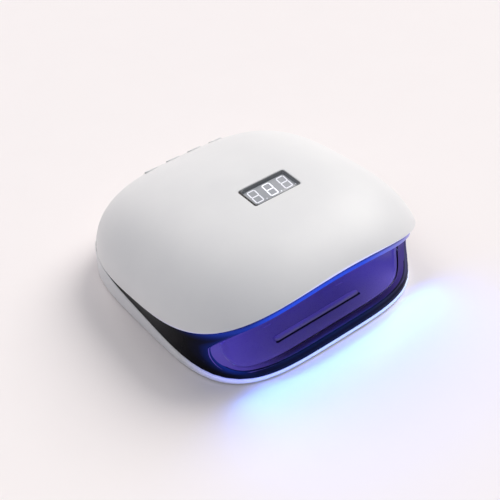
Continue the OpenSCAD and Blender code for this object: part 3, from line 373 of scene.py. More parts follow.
def carve(piece, bm):
    """Take the shapes in a bmesh away from a piece, for good."""
    bmesh.ops.recalc_face_normals(bm, faces=bm.faces)
    tool = in_metres("cutter", bm)
    cut = piece.modifiers.new("carve", "BOOLEAN")
    cut.operation, cut.solver, cut.object = "DIFFERENCE", "EXACT", tool
    cut_piece = piece.evaluated_get(bpy.context.evaluated_depsgraph_get())
    carved = bpy.data.meshes.new_from_object(cut_piece)
    piece.modifiers.remove(cut)
    piece.data = carved
    shade_smooth(carved, SOFT_CREASE)
    bpy.data.objects.remove(tool)
    print(piece.name, "carved,", len(carved.polygons), "faces")


bm = bmesh.new()
for place in BUTTON_PLACES:
    pill_block(bm, place, HOLE_W, HOLE_D, HOLE_LOW, HOLE_HIGH)
bmesh.ops.transform(bm, matrix=to_slope, verts=bm.verts)
seat_bar = Matrix.Translation((0, 104, SOCKET_Z)) @ Matrix.Rotation(math.pi / 2, 4, "X")
bmesh.ops.create_cone(bm, segments=64, radius1=SOCKET_HOLE_R, radius2=SOCKET_HOLE_R, depth=20,
                      cap_ends=True, matrix=seat_bar)
carve(top_cover, bm)

# %% Cover: the sunk seat round the power socket
SEAT_INNER_R, SEAT_OUTER_R, SEAT_BACK_Y, SEAT_FACE_Y = 5.5, 8.8, 97.4, 102.4


def seat_ring(y, r):
    return [Vector((r * math.cos(b), y, SOCKET_Z + r * math.sin(b))) for b in bearings(64)]


seat_corners = ((SEAT_FACE_Y, SEAT_INNER_R), (SEAT_FACE_Y, SEAT_OUTER_R),
                (SEAT_BACK_Y, SEAT_OUTER_R), (SEAT_BACK_Y, SEAT_INNER_R),
                (SEAT_FACE_Y, SEAT_INNER_R))
seat_skin = grow_skin([seat_ring(y, r) for y, r in seat_corners])
socket_seat = as_piece("socket_seat", seat_skin, "housing")

# %% [markdown]
# The band is a black hollow wall between cover and base, and the mouth is a hole in it with a soft
# rolled lip. Laid out flat, the band is a strip: across it runs the bearing, down it a share. The
# skin is grown on that strip from the mouth's outline to the strip's edges, which meet at the
# rear. The first rings sink to the inside along a quarter circle, and that rolls the lip.


# %% Band: its surface over bearing and share down
BAND_TUCK, BAND_CLEAR, BAND_UNDER_COVER, BAND_OVER_BASE = 3, 0.3, 2.9, 0.5
BAND_HOLLOW_HEIGHT, UNDER_EDGE = 40, 0.7


def band_top_z(p):
    """Top of the wall behind the cover's edge: tucked up, but clear of the cover's underside."""
    under = dome_z(p, 1 - UNDER_EDGE / p.length, CROWN_Z - COVER_WALL)
    return min(rim_z(p) + BAND_TUCK, under - BAND_CLEAR)


def band_edge_z(p):
    return min(band_top_z(p), rim_z(p)) - BAND_CLEAR


def band_point(b, down, inset=0.0):
    """A place on the band, from its upper edge, share 0, to its lower edge, share 1."""
    p, q = cover_plan(b, BAND_UNDER_COVER), base_plan(b, BAND_OVER_BASE)
    way = Vector((math.cos(b), math.sin(b)))
    top, low = band_edge_z(cover_plan(b)), base_z(base_plan(b).y)
    hollow = 4 * down * (1 - down) * min(1, (top - low) / BAND_HOLLOW_HEIGHT)
    at = p * (1 - down) + q * down - way * (hollow + inset)
    return Vector((at.x, at.y, top * (1 - down) + low * down))


def band_place(x, z):
    """Bearing and share down of the band's face at a place across and up, by Newton's steps."""
    b, down, step = math.atan2(-100, x), 0.5, 1e-4
    for _ in range(12):
        at = band_point(b, down)
        db, dd = band_point(b + step, down) - at, band_point(b, down + step) - at
        det = (db.x * dd.z - dd.x * db.z) or 1e-12
        ex, ez = x - at.x, z - at.z
        b += step * (ex * dd.z - dd.x * ez) / det
        down += step * (db.x * ez - ex * db.z) / det
    return b, down


# %% Band: the mouth's outline
MOUTH_HALF, MOUTH_MID_Z, LIP_Z, MOUTH_FLAT, VISOR = 99.0, 32.0, 10.6, 78.0, 9.4
UPPER_ROUND, LOWER_ROUND = 1.4, 2.7
END_STEPS, SPAN_STEPS = 40, 40


def mouth_top_z(x):
    """Height of the mouth's upper line: one visor's height below the cover's edge."""
    share = max(0, 1 - (abs(x) / COVER_HALF) ** COVER_SQUARE)
    return rim_z(Vector((x, -COVER_REACH * share ** (1 / COVER_SQUARE)))) - VISOR


def mouth_outline(flat, half, mid, low, top):
    """Places across and up round a mouth: from its right end over the top, and back below."""
    reach, rise, fall = half - flat, top(flat) - mid, mid - low
    quarter = [math.pi / 2 * k / END_STEPS for k in range(END_STEPS + 1)]
    up, down = 2 / UPPER_ROUND, 2 / LOWER_ROUND
    high = [(flat + reach * math.cos(a) ** up, mid + rise * math.sin(a) ** up) for a in quarter]
    deep = [(flat + reach * math.cos(a) ** down, mid - fall * math.sin(a) ** down) for a in quarter]
    span = [flat * (1 - 2 * k / SPAN_STEPS) for k in range(1, SPAN_STEPS)]
    over = high + [(x, top(x)) for x in span] + [(-x, z) for x, z in reversed(high)]
    under = [(-x, z) for x, z in deep[1:]] + [(-x, low) for x in span] + deep[:0:-1]
    return over + under


mouth = mouth_outline(MOUTH_FLAT, MOUTH_HALF, MOUTH_MID_Z, LIP_Z, mouth_top_z)
mouth_places = [band_place(x, z) for x, z in mouth]
MOUTH_LEFT = len(mouth) // 2
print("mouth", len(mouth), "points, top at the middle", round(mouth_top_z(0), 1))

# %% Band: where its lines end
FRONT, REAR_STEPS = -math.pi / 2, 8


def lerp(a, b, t):
    return a + (b - a) * t


def strip_end(i):
    """Where the line from a point of the mouth ends on the strip: bearing and share down."""
    side, upper = 1 if mouth[i][0] > 0 else -1, i <= MOUTH_LEFT
    from_end = min(i, len(mouth) - i) if side > 0 else abs(i - MOUTH_LEFT)
    edge, rear = 0.0 if upper else 1.0, FRONT + side * math.pi
    if from_end > END_STEPS:
        return mouth_places[i][0], edge
    if from_end <= REAR_STEPS:
        return rear, 0.5 + (-0.5 if upper else 0.5) * from_end / REAR_STEPS
    corner = END_STEPS if upper else -END_STEPS
    flat_bearing = mouth_places[corner if side > 0 else MOUTH_LEFT - corner][0]
    return lerp(rear, flat_bearing, (from_end - REAR_STEPS) / (END_STEPS - REAR_STEPS)), edge


mouth_ends = [strip_end(i) for i in range(len(mouth))]
print("the first line ends at bearing and share", mouth_ends[0])

# %% Band: from the lip to the strip's edges
LIP_RINGS, LIP_LOW_R, LIP_HIGH_R, LIP_CHANGE = 6, 2.2, 1.3, 30
BAND_WALL, BAND_RINGS, LENGTH_STEPS, IN_AT_BASE = 1.4, 18, 8, 1.5


def lip_radius(z):
    return lerp(LIP_LOW_R, LIP_HIGH_R, min(1, max(0, (z - LIP_Z) / LIP_CHANGE)))


def tucked(b, down, end, inset):
    """Last point of a line: up behind the cover's edge, in at the base, or where the line ends."""
    if down == 0:
        return raised(cover_plan(b, BAND_UNDER_COVER + inset), band_top_z(cover_plan(b)))
    if down == 1:
        return raised(base_plan(b, IN_AT_BASE), end.z)
    return end


def band_line(i, inset=0.0):
    """One line of the band: round the mouth's lip, then along its face to the strip's edge."""
    (b0, d0), (b1, d1) = mouth_places[i], mouth_ends[i]

    def along(t, sunk=0.0):
        return band_point(lerp(b0, b1, t), lerp(d0, d1, t), sunk)

    steps = [(along((k + 1) / LENGTH_STEPS) - along(k / LENGTH_STEPS)).length
             for k in range(LENGTH_STEPS)]
    length = max(2.0, sum(steps))
    radius = min(lip_radius(mouth[i][1]), 0.6 * length)
    line = []
    for k in range(LIP_RINGS + 1):
        a = math.pi / 2 * k / LIP_RINGS
        sunk = radius * (1 - math.sin(a))
        line.append(along(radius * (1 - math.cos(a)) / length, inset + sunk))
    for k in range(1, BAND_RINGS + 1):
        line.append(along(lerp(radius / length, 1, (k / BAND_RINGS) ** 1.2), inset))
    return line + [tucked(b1, d1, line[-1], inset)]


band_lines = [band_line(i) for i in range(len(mouth))]
band_walls = [line + band_line(i, BAND_WALL)[::-1] + [line[0]] for i, line in enumerate(band_lines)]
print("band:", len(band_lines), "lines of", len(band_walls[0]), "points")

# %% Band: the painted light it catches
# Painted reflection of the mouth's light on the glossy band: on the visor, round the lip, at its
# foot.
VISOR_DARK, VISOR_FULL = 0.80, 0.40
RIM_PAINTED_LIGHT, LOW_RIM_PAINTED_LIGHT, RIM_PAINTED_LIGHT_REACH = 0.30, 0.05, 4.5
FOOT_PAINTED_LIGHT, FOOT_PAINTED_LIGHT_REACH = 0.16, 2.2


def band_painted_light(i, line):
    """Painted light of the mouth on the band: full on the strip over it, a short fade round its
    ends.
    """
    far = [0.0]
    for p, q in zip(line, line[1:]):
        far.append(far[-1] + (q - p).length)
    x, upper = mouth[i][0], i <= MOUTH_LEFT
    visor = smooth_step(-99, -55, x) if upper and abs(x) < MOUTH_HALF - 4 else 0.0
    rim = RIM_PAINTED_LIGHT if upper else lerp(LOW_RIM_PAINTED_LIGHT, RIM_PAINTED_LIGHT, smooth_step(70, 96, abs(x)))
    foot = 0.0 if upper else FOOT_PAINTED_LIGHT
    painted_light = []
    for p, d in zip(line, far):
        over = visor * smooth_step(far[-2] * VISOR_DARK, far[-2] * VISOR_FULL, d)
        fade = rim * math.exp(-d / RIM_PAINTED_LIGHT_REACH)
        low = foot * math.exp(-(far[-1] - d) / FOOT_PAINTED_LIGHT_REACH)
        painted_light.append(max(over, fade, low) * smooth_step(-40, -90, p.y))
    return painted_light


# %% Band: the wall
painted_light_lines = []
for i, line in enumerate(band_lines):
    painted_light = band_painted_light(i, line)
    painted_light_lines.append(painted_light + [0.0] * len(line) + [painted_light[0]])
band_skin = grow_skin(ring_by_ring(band_walls), ring_by_ring(painted_light_lines))
seam = [f for f in band_skin.faces if all(abs(v.co.x) < 0.01 and v.co.y > 0 for v in f.verts)]
bmesh.ops.delete(band_skin, geom=seam, context="FACES")
bmesh.ops.recalc_face_normals(band_skin, faces=band_skin.faces)
print("band: inner faces taken out at the rear seam", len(seam))
side_band = as_piece("side_band_shell", band_skin, "housing", ["side_band"],
                     crease=BAND_CREASE)

# %% [markdown]
# A trim ring leads from the rolled lip in to the chamber, and seen from above its lower run is the
# sill that a wrist rests on. It is grown from the mouth's outline to the chamber's, with a soft
# bend.

# %% Trim ring of the mouth
OPENING_HALF, OPENING_FLAT, OPENING_LOW, CEILING_Z, SEAM_Z = 90.0, 72.0, 9.0, 68.0, 32.8
SILL_WALL, SILL_STEPS, SILL_BEND = 1.2, 8, 0.6
CHAMBER_GAP, SILL_BACK = 0.4, 0.8
chamber_mouth = mouth_outline(OPENING_FLAT, OPENING_HALF, SEAM_Z, OPENING_LOW, lambda x: CEILING_Z)


def chamber_front_y(x, grow):
    share = min(0.999, abs(x) / (CHAMBER_HALF + grow))
    return -(CHAMBER_FRONT + grow) * (1 - share ** CHAMBER_SQUARE) ** (1 / CHAMBER_SQUARE)


def sill_line(i, grow):
    """From a point of the mouth's lip in to its fellow on the chamber's opening."""
    line, lip_y = [], band_lines[i][0].y
    (x0, z0), (x1, z1) = mouth[i], chamber_mouth[i]
    back_y = chamber_front_y(x1, CHAMBER_GAP) - SILL_BACK
    for k in range(SILL_STEPS + 1):
        t = k / SILL_STEPS
        x, z = lerp(x0, x1, t), lerp(z0, z1, lerp(t, smooth_step(0, 1, t), SILL_BEND))
        away = Vector((x, 0, z - MOUTH_MID_Z)).normalized() * grow
        line.append(Vector((x, lerp(lip_y, back_y, t), z)) + away)
    return line


def end_painted_light(p):
    """Painted light of the chamber, strongest at its two ends."""
    return smooth_step(25, 92, abs(p.x))


sill_rings = ring_by_ring(sill_line(i, 0) for i in range(len(mouth)))
sill_rings += ring_by_ring(sill_line(i, SILL_WALL) for i in range(len(mouth)))[::-1]
sill_rings.append(sill_rings[0])

sill_skin = grow_skin(sill_rings, [[end_painted_light(p) ** 2 for p in ring] for ring in sill_rings])
mouth_ring = as_piece("mouth_sill", sill_skin, "housing", ["mouth_ring"])

# %% [markdown]
# The base is a shallow white pan with soft upper and lower edges. Its wall is grown from the
# middle of its floor out, up the wall, over the rounded top edge and down the outside.

# %% Base pan
BASE_LINES, PAN_WALL, PAN_FLOOR_Z, PAN_UNDER_Z = 240, 2.2, 3.4, 1
PART_GAP, PAN_TOP_ROUND, PAN_LOW_ROUND = 0.4, 1.7, 2
# Where the painted light on the base's front edge starts and where it is full.
PAN_PAINTED_LIGHT_START, PAN_PAINTED_LIGHT_FULL = -45, -95


def pan_line(b):
    """From the pan's floor up the wall's inside, over its rounded top, down and in below."""
    outer, inner = base_plan(b), base_plan(b, PAN_WALL)
    top, low = base_z(outer.y) - PART_GAP, PAN_UNDER_Z
    line = [raised(inner * 0.5, PAN_FLOOR_Z), raised(inner * 0.97, PAN_FLOOR_Z)]
    line += rounded_corner(raised(inner, max(PAN_FLOOR_Z + 0.5, top - 0.6)), raised(inner, top),
                           raised(base_plan(b, PAN_WALL - 0.3), top), 2)
    line += rounded_corner(raised(base_plan(b, PAN_TOP_ROUND), top), raised(outer, top),
                           raised(outer, top - PAN_TOP_ROUND), 6)
    line += rounded_corner(raised(outer, low + PAN_LOW_ROUND), raised(outer, low),
                           raised(base_plan(b, PAN_LOW_ROUND), low), 5)
    return line + [raised(outer * 0.5, low)]


def pan_painted_light(p):
    """Painted light of the mouth on the base's front edge, strongest at its top."""
    edge = base_plan(math.atan2(p.y, p.x), PAN_LOW_ROUND)
    if p.y > PAN_PAINTED_LIGHT_START or p.xy.length < edge.length:
        return 0.0
    along = smooth_step(PAN_PAINTED_LIGHT_START, PAN_PAINTED_LIGHT_FULL, p.y)
    return along * smooth_step(0.5, base_z(p.y) * 0.8, p.z)


pan_rings = [pole(PAN_FLOOR_Z, BASE_LINES)] + ring_by_ring(map(pan_line, bearings(BASE_LINES)))
pan_rings.append(pole(PAN_UNDER_Z, BASE_LINES))
pan_skin = grow_skin(pan_rings, [[pan_painted_light(p) for p in ring] for ring in pan_rings])
base_pan = as_piece("base_tray_pan", pan_skin, "base", ["base_pan"])

# %% [markdown]
# The hand chamber has a glossy floor tray with a finger ridge, and a reflector over it. Both rise
# to their edge on a quarter of an ellipse, so one rule shapes the two halves.

# %% Floor tray
FLAT_SHARE, TRAY_Z, CHAMBER_WALL, CHAMBER_LINES = 0.62, 8.0, 1.6, 240
CHAMBER_SHARES = [0.3, 0.55, 0.62, 0.66, 0.7, 0.74, 0.78, 0.82,
                  0.86, 0.895, 0.925, 0.95, 0.97, 0.985, 0.995, 1]


def corner_drop(share, power):
    return max(0, 1 - min(1, share) ** power) ** (1 / power)


def opening_z(x, upper):
    """Height of the chamber's opening, of its upper or its lower line."""
    over = max(0, (abs(x) - OPENING_FLAT) / (OPENING_HALF - OPENING_FLAT))
    if over >= 1:
        return SEAM_Z
    if upper:
        return SEAM_Z + (CEILING_Z - SEAM_Z) * corner_drop(over, UPPER_ROUND)
    return SEAM_Z - (SEAM_Z - OPENING_LOW) * corner_drop(over, LOWER_ROUND)


def edge_rise(share):
    """Rise from the flat middle, 0, to the edge, 1, on a quarter of an ellipse."""
    t = max(0, (share - FLAT_SHARE) / (1 - FLAT_SHARE))
    return 1 - math.sqrt(max(0, 1 - t * t))


def bowl_line(b, flat_z, edge, inner_z, outer_z):
    """Half a line of the chamber's wall: out along its inner face, round the edge, back outside."""
    outer, inner = chamber_plan(b), chamber_plan(b, CHAMBER_WALL)
    rises = [(s, (edge - flat_z) * edge_rise(s)) for s in CHAMBER_SHARES]
    face = [raised(inner * s, inner_z + rise) for s, rise in rises]
    back = [raised(outer * s, outer_z + rise) for s, rise in rises[:-1]]
    return face + [raised(outer, edge)] + back[::-1]


def bowl_rings(line, inner_z, outer_z):
    """Rings of a half of the chamber, from a pole in its middle to a pole outside."""
    rings = ring_by_ring(map(line, bearings(CHAMBER_LINES)))
    return [pole(inner_z, CHAMBER_LINES)] + rings + [pole(outer_z, CHAMBER_LINES)]


def tray_line(b):
    outer = chamber_plan(b)
    edge = (opening_z(outer.x, False) if outer.y < 0 else SEAM_Z) - PART_GAP
    return bowl_line(b, TRAY_Z, edge, TRAY_Z, TRAY_Z - CHAMBER_WALL)


tray_rings = bowl_rings(tray_line, TRAY_Z, TRAY_Z - CHAMBER_WALL)
tray_skin = grow_skin(tray_rings, [[end_painted_light(p) for p in ring] for ring in tray_rings])
floor_tray = as_piece("hand_tray", tray_skin, "base", ["floor_tray"])


# %% Finger ridge and its two marks
RIDGE_LONG, RIDGE_DEEP, RIDGE_HIGH, RIDGE_Y = 84.8, 5, 1.6, -79.8
# The dark strip below is painted shadow, where the ridge shades the tray in front of it.
SHADOW_LONG, SHADOW_DEEP, SHADOW_HIGH, SHADOW_Y = 86, 2.4, 0.3, -82.6
MARK_LONG, MARK_DEEP, MARK_HIGH, MARK_X, MARK_Y = 7, 1.2, 0.4, 37, -64.8
RIDGE_FOOT_Z = TRAY_Z - 0.6


def soft_bar(bm, x, y, width, depth, low, high, soft):
    """A pill whose upper rim is rounded."""
    made = set(bm.verts)
    pill_block(bm, 0, width, depth, low, high)
    fresh = [v for v in bm.verts if v not in made]
    bmesh.ops.translate(bm, vec=(x, y, 0), verts=fresh)
    rim = [e for e in bm.edges if all(v in fresh and abs(v.co.z - high) < 1e-4 for v in e.verts)]
    bmesh.ops.bevel(bm, geom=rim, offset=soft, segments=5, affect="EDGES", profile=0.5, material=-1)


bm = bmesh.new()
soft_bar(bm, 0, RIDGE_Y, RIDGE_LONG, RIDGE_DEEP, RIDGE_FOOT_Z, TRAY_Z + RIDGE_HIGH, 1.5)
for side in (-1, 1):
    soft_bar(bm, side * MARK_X, MARK_Y, MARK_LONG, MARK_DEEP, RIDGE_FOOT_Z,
             TRAY_Z + MARK_HIGH, 0.35)
bmesh.ops.recalc_face_normals(bm, faces=bm.faces)
finger_ridge = as_piece("finger_ridge", bm, "base")

# %% Painted shadow in front of the ridge: a thin dark strip on the tray
bm = bmesh.new()
soft_bar(bm, 0, SHADOW_Y, SHADOW_LONG, SHADOW_DEEP, RIDGE_FOOT_Z, TRAY_Z + SHADOW_HIGH, 0.05)
bmesh.ops.recalc_face_normals(bm, faces=bm.faces)
ridge_painted_shadow = as_piece("ridge_painted_shadow", bm, "base")


# %% Reflector over the chamber
def reflector_line(b):
    outer = chamber_plan(b)
    edge = opening_z(outer.x, True) if outer.y < 0 else SEAM_Z
    return bowl_line(b, CEILING_Z, edge, CEILING_Z, CEILING_Z + CHAMBER_WALL)


shell_skin = grow_skin(bowl_rings(reflector_line, CEILING_Z, CEILING_Z + CHAMBER_WALL))
reflector = as_piece("chamber_reflector", shell_skin, "housing", ["reflector"])

# %% [markdown]
# The lights look into the chamber through round holes in its reflector: five rows of four in the
# ceiling, five in each slanted side and six in the slanted rear. One cutter holds all the short
# bars for these holes, each turned as its wall is, and one slot for the hand sensor.


# %% Reflector: holes for the lights
SIDE_TURN, REAR_TURN = math.radians(43.85), math.radians(54.6)
SLANT_Z, SIDE_X, REAR_Y = 57.95, 83.63, 57.05
LIGHT_R, LIGHT_DEPTH = 3.8, 8
SLOT_SIZE, SLOT_Y, SLOT_ROUND = (16.6, 7.6, 8), -80, 2
light_frames = [Matrix.Translation((28 * (i - 1.5), -8 + 18 * (j - 2), CEILING_Z))
                for i in range(4) for j in range(5)]
for side in (-1, 1):
    for j in range(5):
        light_frames.append(Matrix.Translation((side * SIDE_X, -12 + 21 * (j - 2), SLANT_Z))
                            @ Matrix.Rotation(side * SIDE_TURN, 4, "Y"))
for i in range(6):
    light_frames.append(Matrix.Translation((20 * (i - 2.5), REAR_Y, SLANT_Z))
                        @ Matrix.Rotation(-REAR_TURN, 4, "X"))
bm = bmesh.new()
for light in light_frames:
    bmesh.ops.create_cone(bm, segments=24, radius1=LIGHT_R, radius2=LIGHT_R, depth=LIGHT_DEPTH,
                          cap_ends=True, matrix=light)
made = set(bm.verts)
bmesh.ops.create_cube(bm, size=1)
slot_box = [v for v in bm.verts if v not in made]
bmesh.ops.scale(bm, vec=SLOT_SIZE, verts=slot_box)
bmesh.ops.translate(bm, vec=(0, SLOT_Y, CEILING_Z), verts=slot_box)
upright = [e for e in bm.edges if e.verts[0] in slot_box and e.verts[1] in slot_box
           and abs(e.verts[0].co.z - e.verts[1].co.z) > 4]
bmesh.ops.bevel(bm, geom=upright, offset=SLOT_ROUND, segments=4, affect="EDGES", profile=0.5,
                material=-1)
carve(reflector, bm)
print("holes for", len(light_frames), "lights")

# %% [markdown]
# The display sits in a dark frame that slopes down to a grey face. The frame is a small grown
# skin, and the face is a thin plate that carries three slanted digits of seven bars each.

# %% Display frame
BEZEL_LINES, FACE_Z, FACE_X = 160, 94.95, 0.5
FLANGE_LOW_Z, FLANGE_TOP_Z, FLANGE_OUT = 94.1, 94.4, 2.5
FRAME_SUNK, FRAME_GAP, LEFT_LEDGE = 0.25, 0.15, 0.9


def bezel_line(b):
    """From the frame's top over its ledge, down the slope to the face, and out under the cover."""
    way = Vector((math.cos(b), math.sin(b)))
    leftness = -way.x / max(abs(way.x), abs(way.y) * WINDOW_HALF / WINDOW_DEEP)
    broad = smooth_step(0.9, 1.0, leftness) * LEFT_LEDGE
    shift = Vector((FACE_X, 0)) * min(1, abs(way.x) * 3)

    def at(inset, z):
        return raised(window_edge(way, -inset), z)

    foot = window_edge(way, -2.3 - broad / 2) + shift
    z = cover_z(window_edge(way, -FRAME_GAP)) - FRAME_SUNK
    line = rounded_corner(at(FRAME_GAP, z - 0.3), at(FRAME_GAP, z), at(0.5, z))
    line += rounded_corner(at(0.8 + broad, z - 0.05), at(1.0 + broad, z - 0.1),
                           at(1.15 + broad, z - 0.5))
    line += [raised(foot, FACE_Z + 0.15), raised(foot, FLANGE_LOW_Z)]
    line += [at(-FLANGE_OUT, FLANGE_LOW_Z), at(-FLANGE_OUT, FLANGE_TOP_Z)]
    return line + [at(FRAME_GAP, FLANGE_TOP_Z), line[0]]


bezel_skin = grow_skin(ring_by_ring(map(bezel_line, bearings(BEZEL_LINES))))
display_frame = as_piece("display_frame", bezel_skin, "housing", ["display_bezel"])

# %% Display face
FACE_W, FACE_D, FACE_THICK = 40.6, 18.2, 3


def thickened(bm, height):
    """Pull all faces of a flat mesh up into a slab."""
    top = bmesh.ops.extrude_face_region(bm, geom=bm.faces[:])["geom"]
    lifted = [v for v in top if isinstance(v, bmesh.types.BMVert)]
    bmesh.ops.translate(bm, vec=(0, 0, height), verts=lifted)
    bmesh.ops.recalc_face_normals(bm, faces=bm.faces)


bm = bmesh.new()
bmesh.ops.create_grid(bm, x_segments=1, y_segments=1, size=0.5)
bmesh.ops.scale(bm, vec=(FACE_W, FACE_D, 1), verts=bm.verts)
bmesh.ops.translate(bm, vec=(FACE_X, WINDOW_MID.y, FACE_Z - FACE_THICK), verts=bm.verts)
thickened(bm, FACE_THICK)
bmesh.ops.bevel(bm, geom=bm.edges[:], offset=0.2, segments=2, affect="EDGES", profile=0.5,
                material=-1)
display_face = as_piece("display_face", bm, "housing", ["display_panel"])

# %% Digits of the display
DIGIT_W, DIGIT_H, DIGIT_SLANT, DIGIT_Y = 6.8, 13.7, 0.105, -20.95
STROKE, BAR_POINT, BAR_GAP, BAR_THICK = 0.58, 0.45, 0.25, 0.08
DOT_R, DOT_RIGHT, DOT_DOWN = 0.55, 2.0, 0.1


def digit_bar(bm, x, y, length, upright):
    """One bar of a digit: a six-sided flake, drawn out along the bar."""
    ring = bmesh.ops.create_circle(bm, segments=6, radius=STROKE)["verts"]
    turned = Matrix.Rotation(math.radians(30), 3, "Z")
    bmesh.ops.rotate(bm, cent=(0, 0, 0), matrix=turned, verts=ring)
    for v in ring:
        if abs(v.co.y) > 0.1:
            far = math.copysign(length / 2 - BAR_POINT, v.co.x)
            v.co = Vector((far, math.copysign(STROKE, v.co.y), 0))
        else:
            v.co.x = math.copysign(length / 2, v.co.x)
        if upright:
            v.co = Vector((v.co.y, v.co.x, 0))
        v.co += Vector((x, y, 0))
        v.co.x += DIGIT_SLANT * v.co.y
    bmesh.ops.contextual_create(bm, geom=ring)


def digit(bm, middle_x):
    """Seven bars and a dot."""
    made = set(bm.verts)
    for y in (-DIGIT_H / 2, 0, DIGIT_H / 2):
        digit_bar(bm, 0, y, DIGIT_W - BAR_GAP, False)
    for x in (-DIGIT_W / 2, DIGIT_W / 2):
        for y in (-DIGIT_H / 4, DIGIT_H / 4):
            digit_bar(bm, x, y, DIGIT_H / 2 - BAR_GAP, True)
    dot = bmesh.ops.create_circle(bm, segments=12, radius=DOT_R)["verts"]
    bmesh.ops.translate(bm, vec=(DIGIT_W / 2 + DOT_RIGHT, -DIGIT_H / 2 - DOT_DOWN, 0), verts=dot)
    bmesh.ops.contextual_create(bm, geom=dot)
    fresh = [v for v in bm.verts if v not in made]
    bmesh.ops.translate(bm, vec=(middle_x, DIGIT_Y, FACE_Z - 0.02), verts=fresh)


def digits(name, places):
    bm = bmesh.new()
    for x in places:
        digit(bm, x)
    thickened(bm, BAR_THICK)
    return as_piece(name, bm, "housing")


digits_faint = digits("digits_left_right", (-13.3, 14.8))
digit_lit = digits("digit_middle", (0.8,))

# %% [markdown]
# Each timer button is a long white cap on the rear slope with a flange below the cover, so it
# can't fall out, and a stem that meets its switch. A pill is drawn up in steps and its upper rim
# bevelled.


# %% Timer buttons
BUTTON_W, BUTTON_D, BUTTON_PROUD, BUTTON_ROUND = 13, 6.4, 0.9, 0.5
FLANGE_W, FLANGE_D, FLANGE_DOWN, FLANGE_THICK = 15.2, 8.6, 2.8, 1
STEM_R, STEM_FOOT = 2, -6.3


def row_drop(x):
    """How far the cover lies below the row's middle, square to the slope."""
    return (cover_z(Vector((x, BUTTON_MID.y))) - BUTTON_MID.z) * math.cos(BUTTON_TILT)


def button_cap(place):
    bm = bmesh.new()
    ends = (place - FLANGE_W / 2, place + FLANGE_W / 2)
    flange = min(map(row_drop, ends)) - FLANGE_DOWN
    soft_bar(bm, place, 0, BUTTON_W, BUTTON_D, flange, row_drop(place) + BUTTON_PROUD, BUTTON_ROUND)
    soft_bar(bm, place, 0, FLANGE_W, FLANGE_D, flange - FLANGE_THICK, flange, 0.2)
    stem_top = flange - FLANGE_THICK + 0.1
    stem = bmesh.ops.create_cone(bm, segments=32, radius1=STEM_R, radius2=STEM_R,
                                 depth=stem_top - STEM_FOOT, cap_ends=True)["verts"]
    bmesh.ops.translate(bm, vec=(place, 0, (stem_top + STEM_FOOT) / 2), verts=stem)
    bmesh.ops.recalc_face_normals(bm, faces=bm.faces)
    bmesh.ops.transform(bm, matrix=to_slope, verts=bm.verts)
    return bm


buttons = []
for label, place in zip(("10s", "30s", "60s", "99s"), BUTTON_PLACES):
    buttons.append(as_piece("timer_button_" + label, button_cap(place), "key_" + label,
                            ["button_" + label]))

# %% [markdown]
# Moulded plastic is never one flat colour. A faint cloudiness shifts its tint, and a very fine
# grain shifts its gloss and breaks its reflections. Both come from one node group that every
# plastic here uses, so each material only says its colours, its gloss and its grain's strength.


# %% Nodes in few words
def node_group(name, inputs, outputs):
    group = bpy.data.node_groups.new(name, "ShaderNodeTree")
    for label, kind, value in inputs:
        socket = group.interface.new_socket(label, in_out="INPUT", socket_type=kind)
        if value is not None:
            socket.default_value = value
    for label, kind in outputs:
        group.interface.new_socket(label, in_out="OUTPUT", socket_type=kind)
    return group, group.nodes.new("NodeGroupInput"), group.nodes.new("NodeGroupOutput")


def noise(tree, vector, size, detail=2.0, rough=0.5):
    """A cloudy pattern whose clouds are about one size across, in metres."""
    cloud = tree.nodes.new("ShaderNodeTexNoise")
    cloud.inputs["Scale"].default_value = 1 / size
    cloud.inputs["Detail"].default_value = detail
    cloud.inputs["Roughness"].default_value = rough
    tree.links.new(vector, cloud.inputs["Vector"])
    return cloud


def ranged(tree, value, low, high):
    node = tree.nodes.new("ShaderNodeMapRange")
    node.inputs["From Min"].default_value, node.inputs["From Max"].default_value = low, high
    tree.links.new(value, node.inputs["Value"])
    return node


def colour_mix(tree, factor, one, other):
    """Mix two colours, each of them a value or another node's output."""
    mix = tree.nodes.new("ShaderNodeMix")
    mix.data_type = "RGBA"
    tree.links.new(factor, mix.inputs["Factor"])
    for label, colour in (("A", one), ("B", other)):
        if isinstance(colour, tuple):
            mix.inputs[label].default_value = (*colour, 1)
        else:
            tree.links.new(colour, mix.inputs[label])
    return mix.outputs["Result"]


# %% Shared effect: moulded surface
moulded, mould_in, mould_out = node_group(
    "moulded_surface",
    [("Vector", "NodeSocketVector", None), ("Colour", "NodeSocketColor", (0.8, 0.8, 0.8, 1)),
     ("Shade", "NodeSocketColor", (0.7, 0.7, 0.7, 1)), ("Gloss Low", "NodeSocketFloat", 0.3),
     ("Gloss High", "NodeSocketFloat", 0.4), ("Grain", "NodeSocketFloat", 0.2)],
    [("Colour", "NodeSocketColor"), ("Roughness", "NodeSocketFloat"),
     ("Normal", "NodeSocketVector")])
CLOUD_SIZE, GRAIN_SIZE, GRAIN_HEIGHT = 0.045, 0.0006, 0.00004
cloud = noise(moulded, mould_in.outputs["Vector"], CLOUD_SIZE, 3.0, 0.55)
fine = noise(moulded, mould_in.outputs["Vector"], GRAIN_SIZE, 2.0, 0.6)
cloud_mask = ranged(moulded, cloud.outputs["Fac"], 0.35, 0.68)
tint = colour_mix(moulded, cloud_mask.outputs["Result"], mould_in.outputs["Colour"],
                  mould_in.outputs["Shade"])
moulded.links.new(tint, mould_out.inputs["Colour"])
gloss = ranged(moulded, fine.outputs["Fac"], 0.3, 0.7)
moulded.links.new(mould_in.outputs["Gloss Low"], gloss.inputs["To Min"])
moulded.links.new(mould_in.outputs["Gloss High"], gloss.inputs["To Max"])
moulded.links.new(gloss.outputs["Result"], mould_out.inputs["Roughness"])
grain = moulded.nodes.new("ShaderNodeBump")
grain.inputs["Distance"].default_value = GRAIN_HEIGHT
moulded.links.new(mould_in.outputs["Grain"], grain.inputs["Strength"])
moulded.links.new(fine.outputs["Fac"], grain.inputs["Height"])
moulded.links.new(grain.outputs["Normal"], mould_out.inputs["Normal"])
print("shared group", moulded.name, len(moulded.nodes), "nodes")


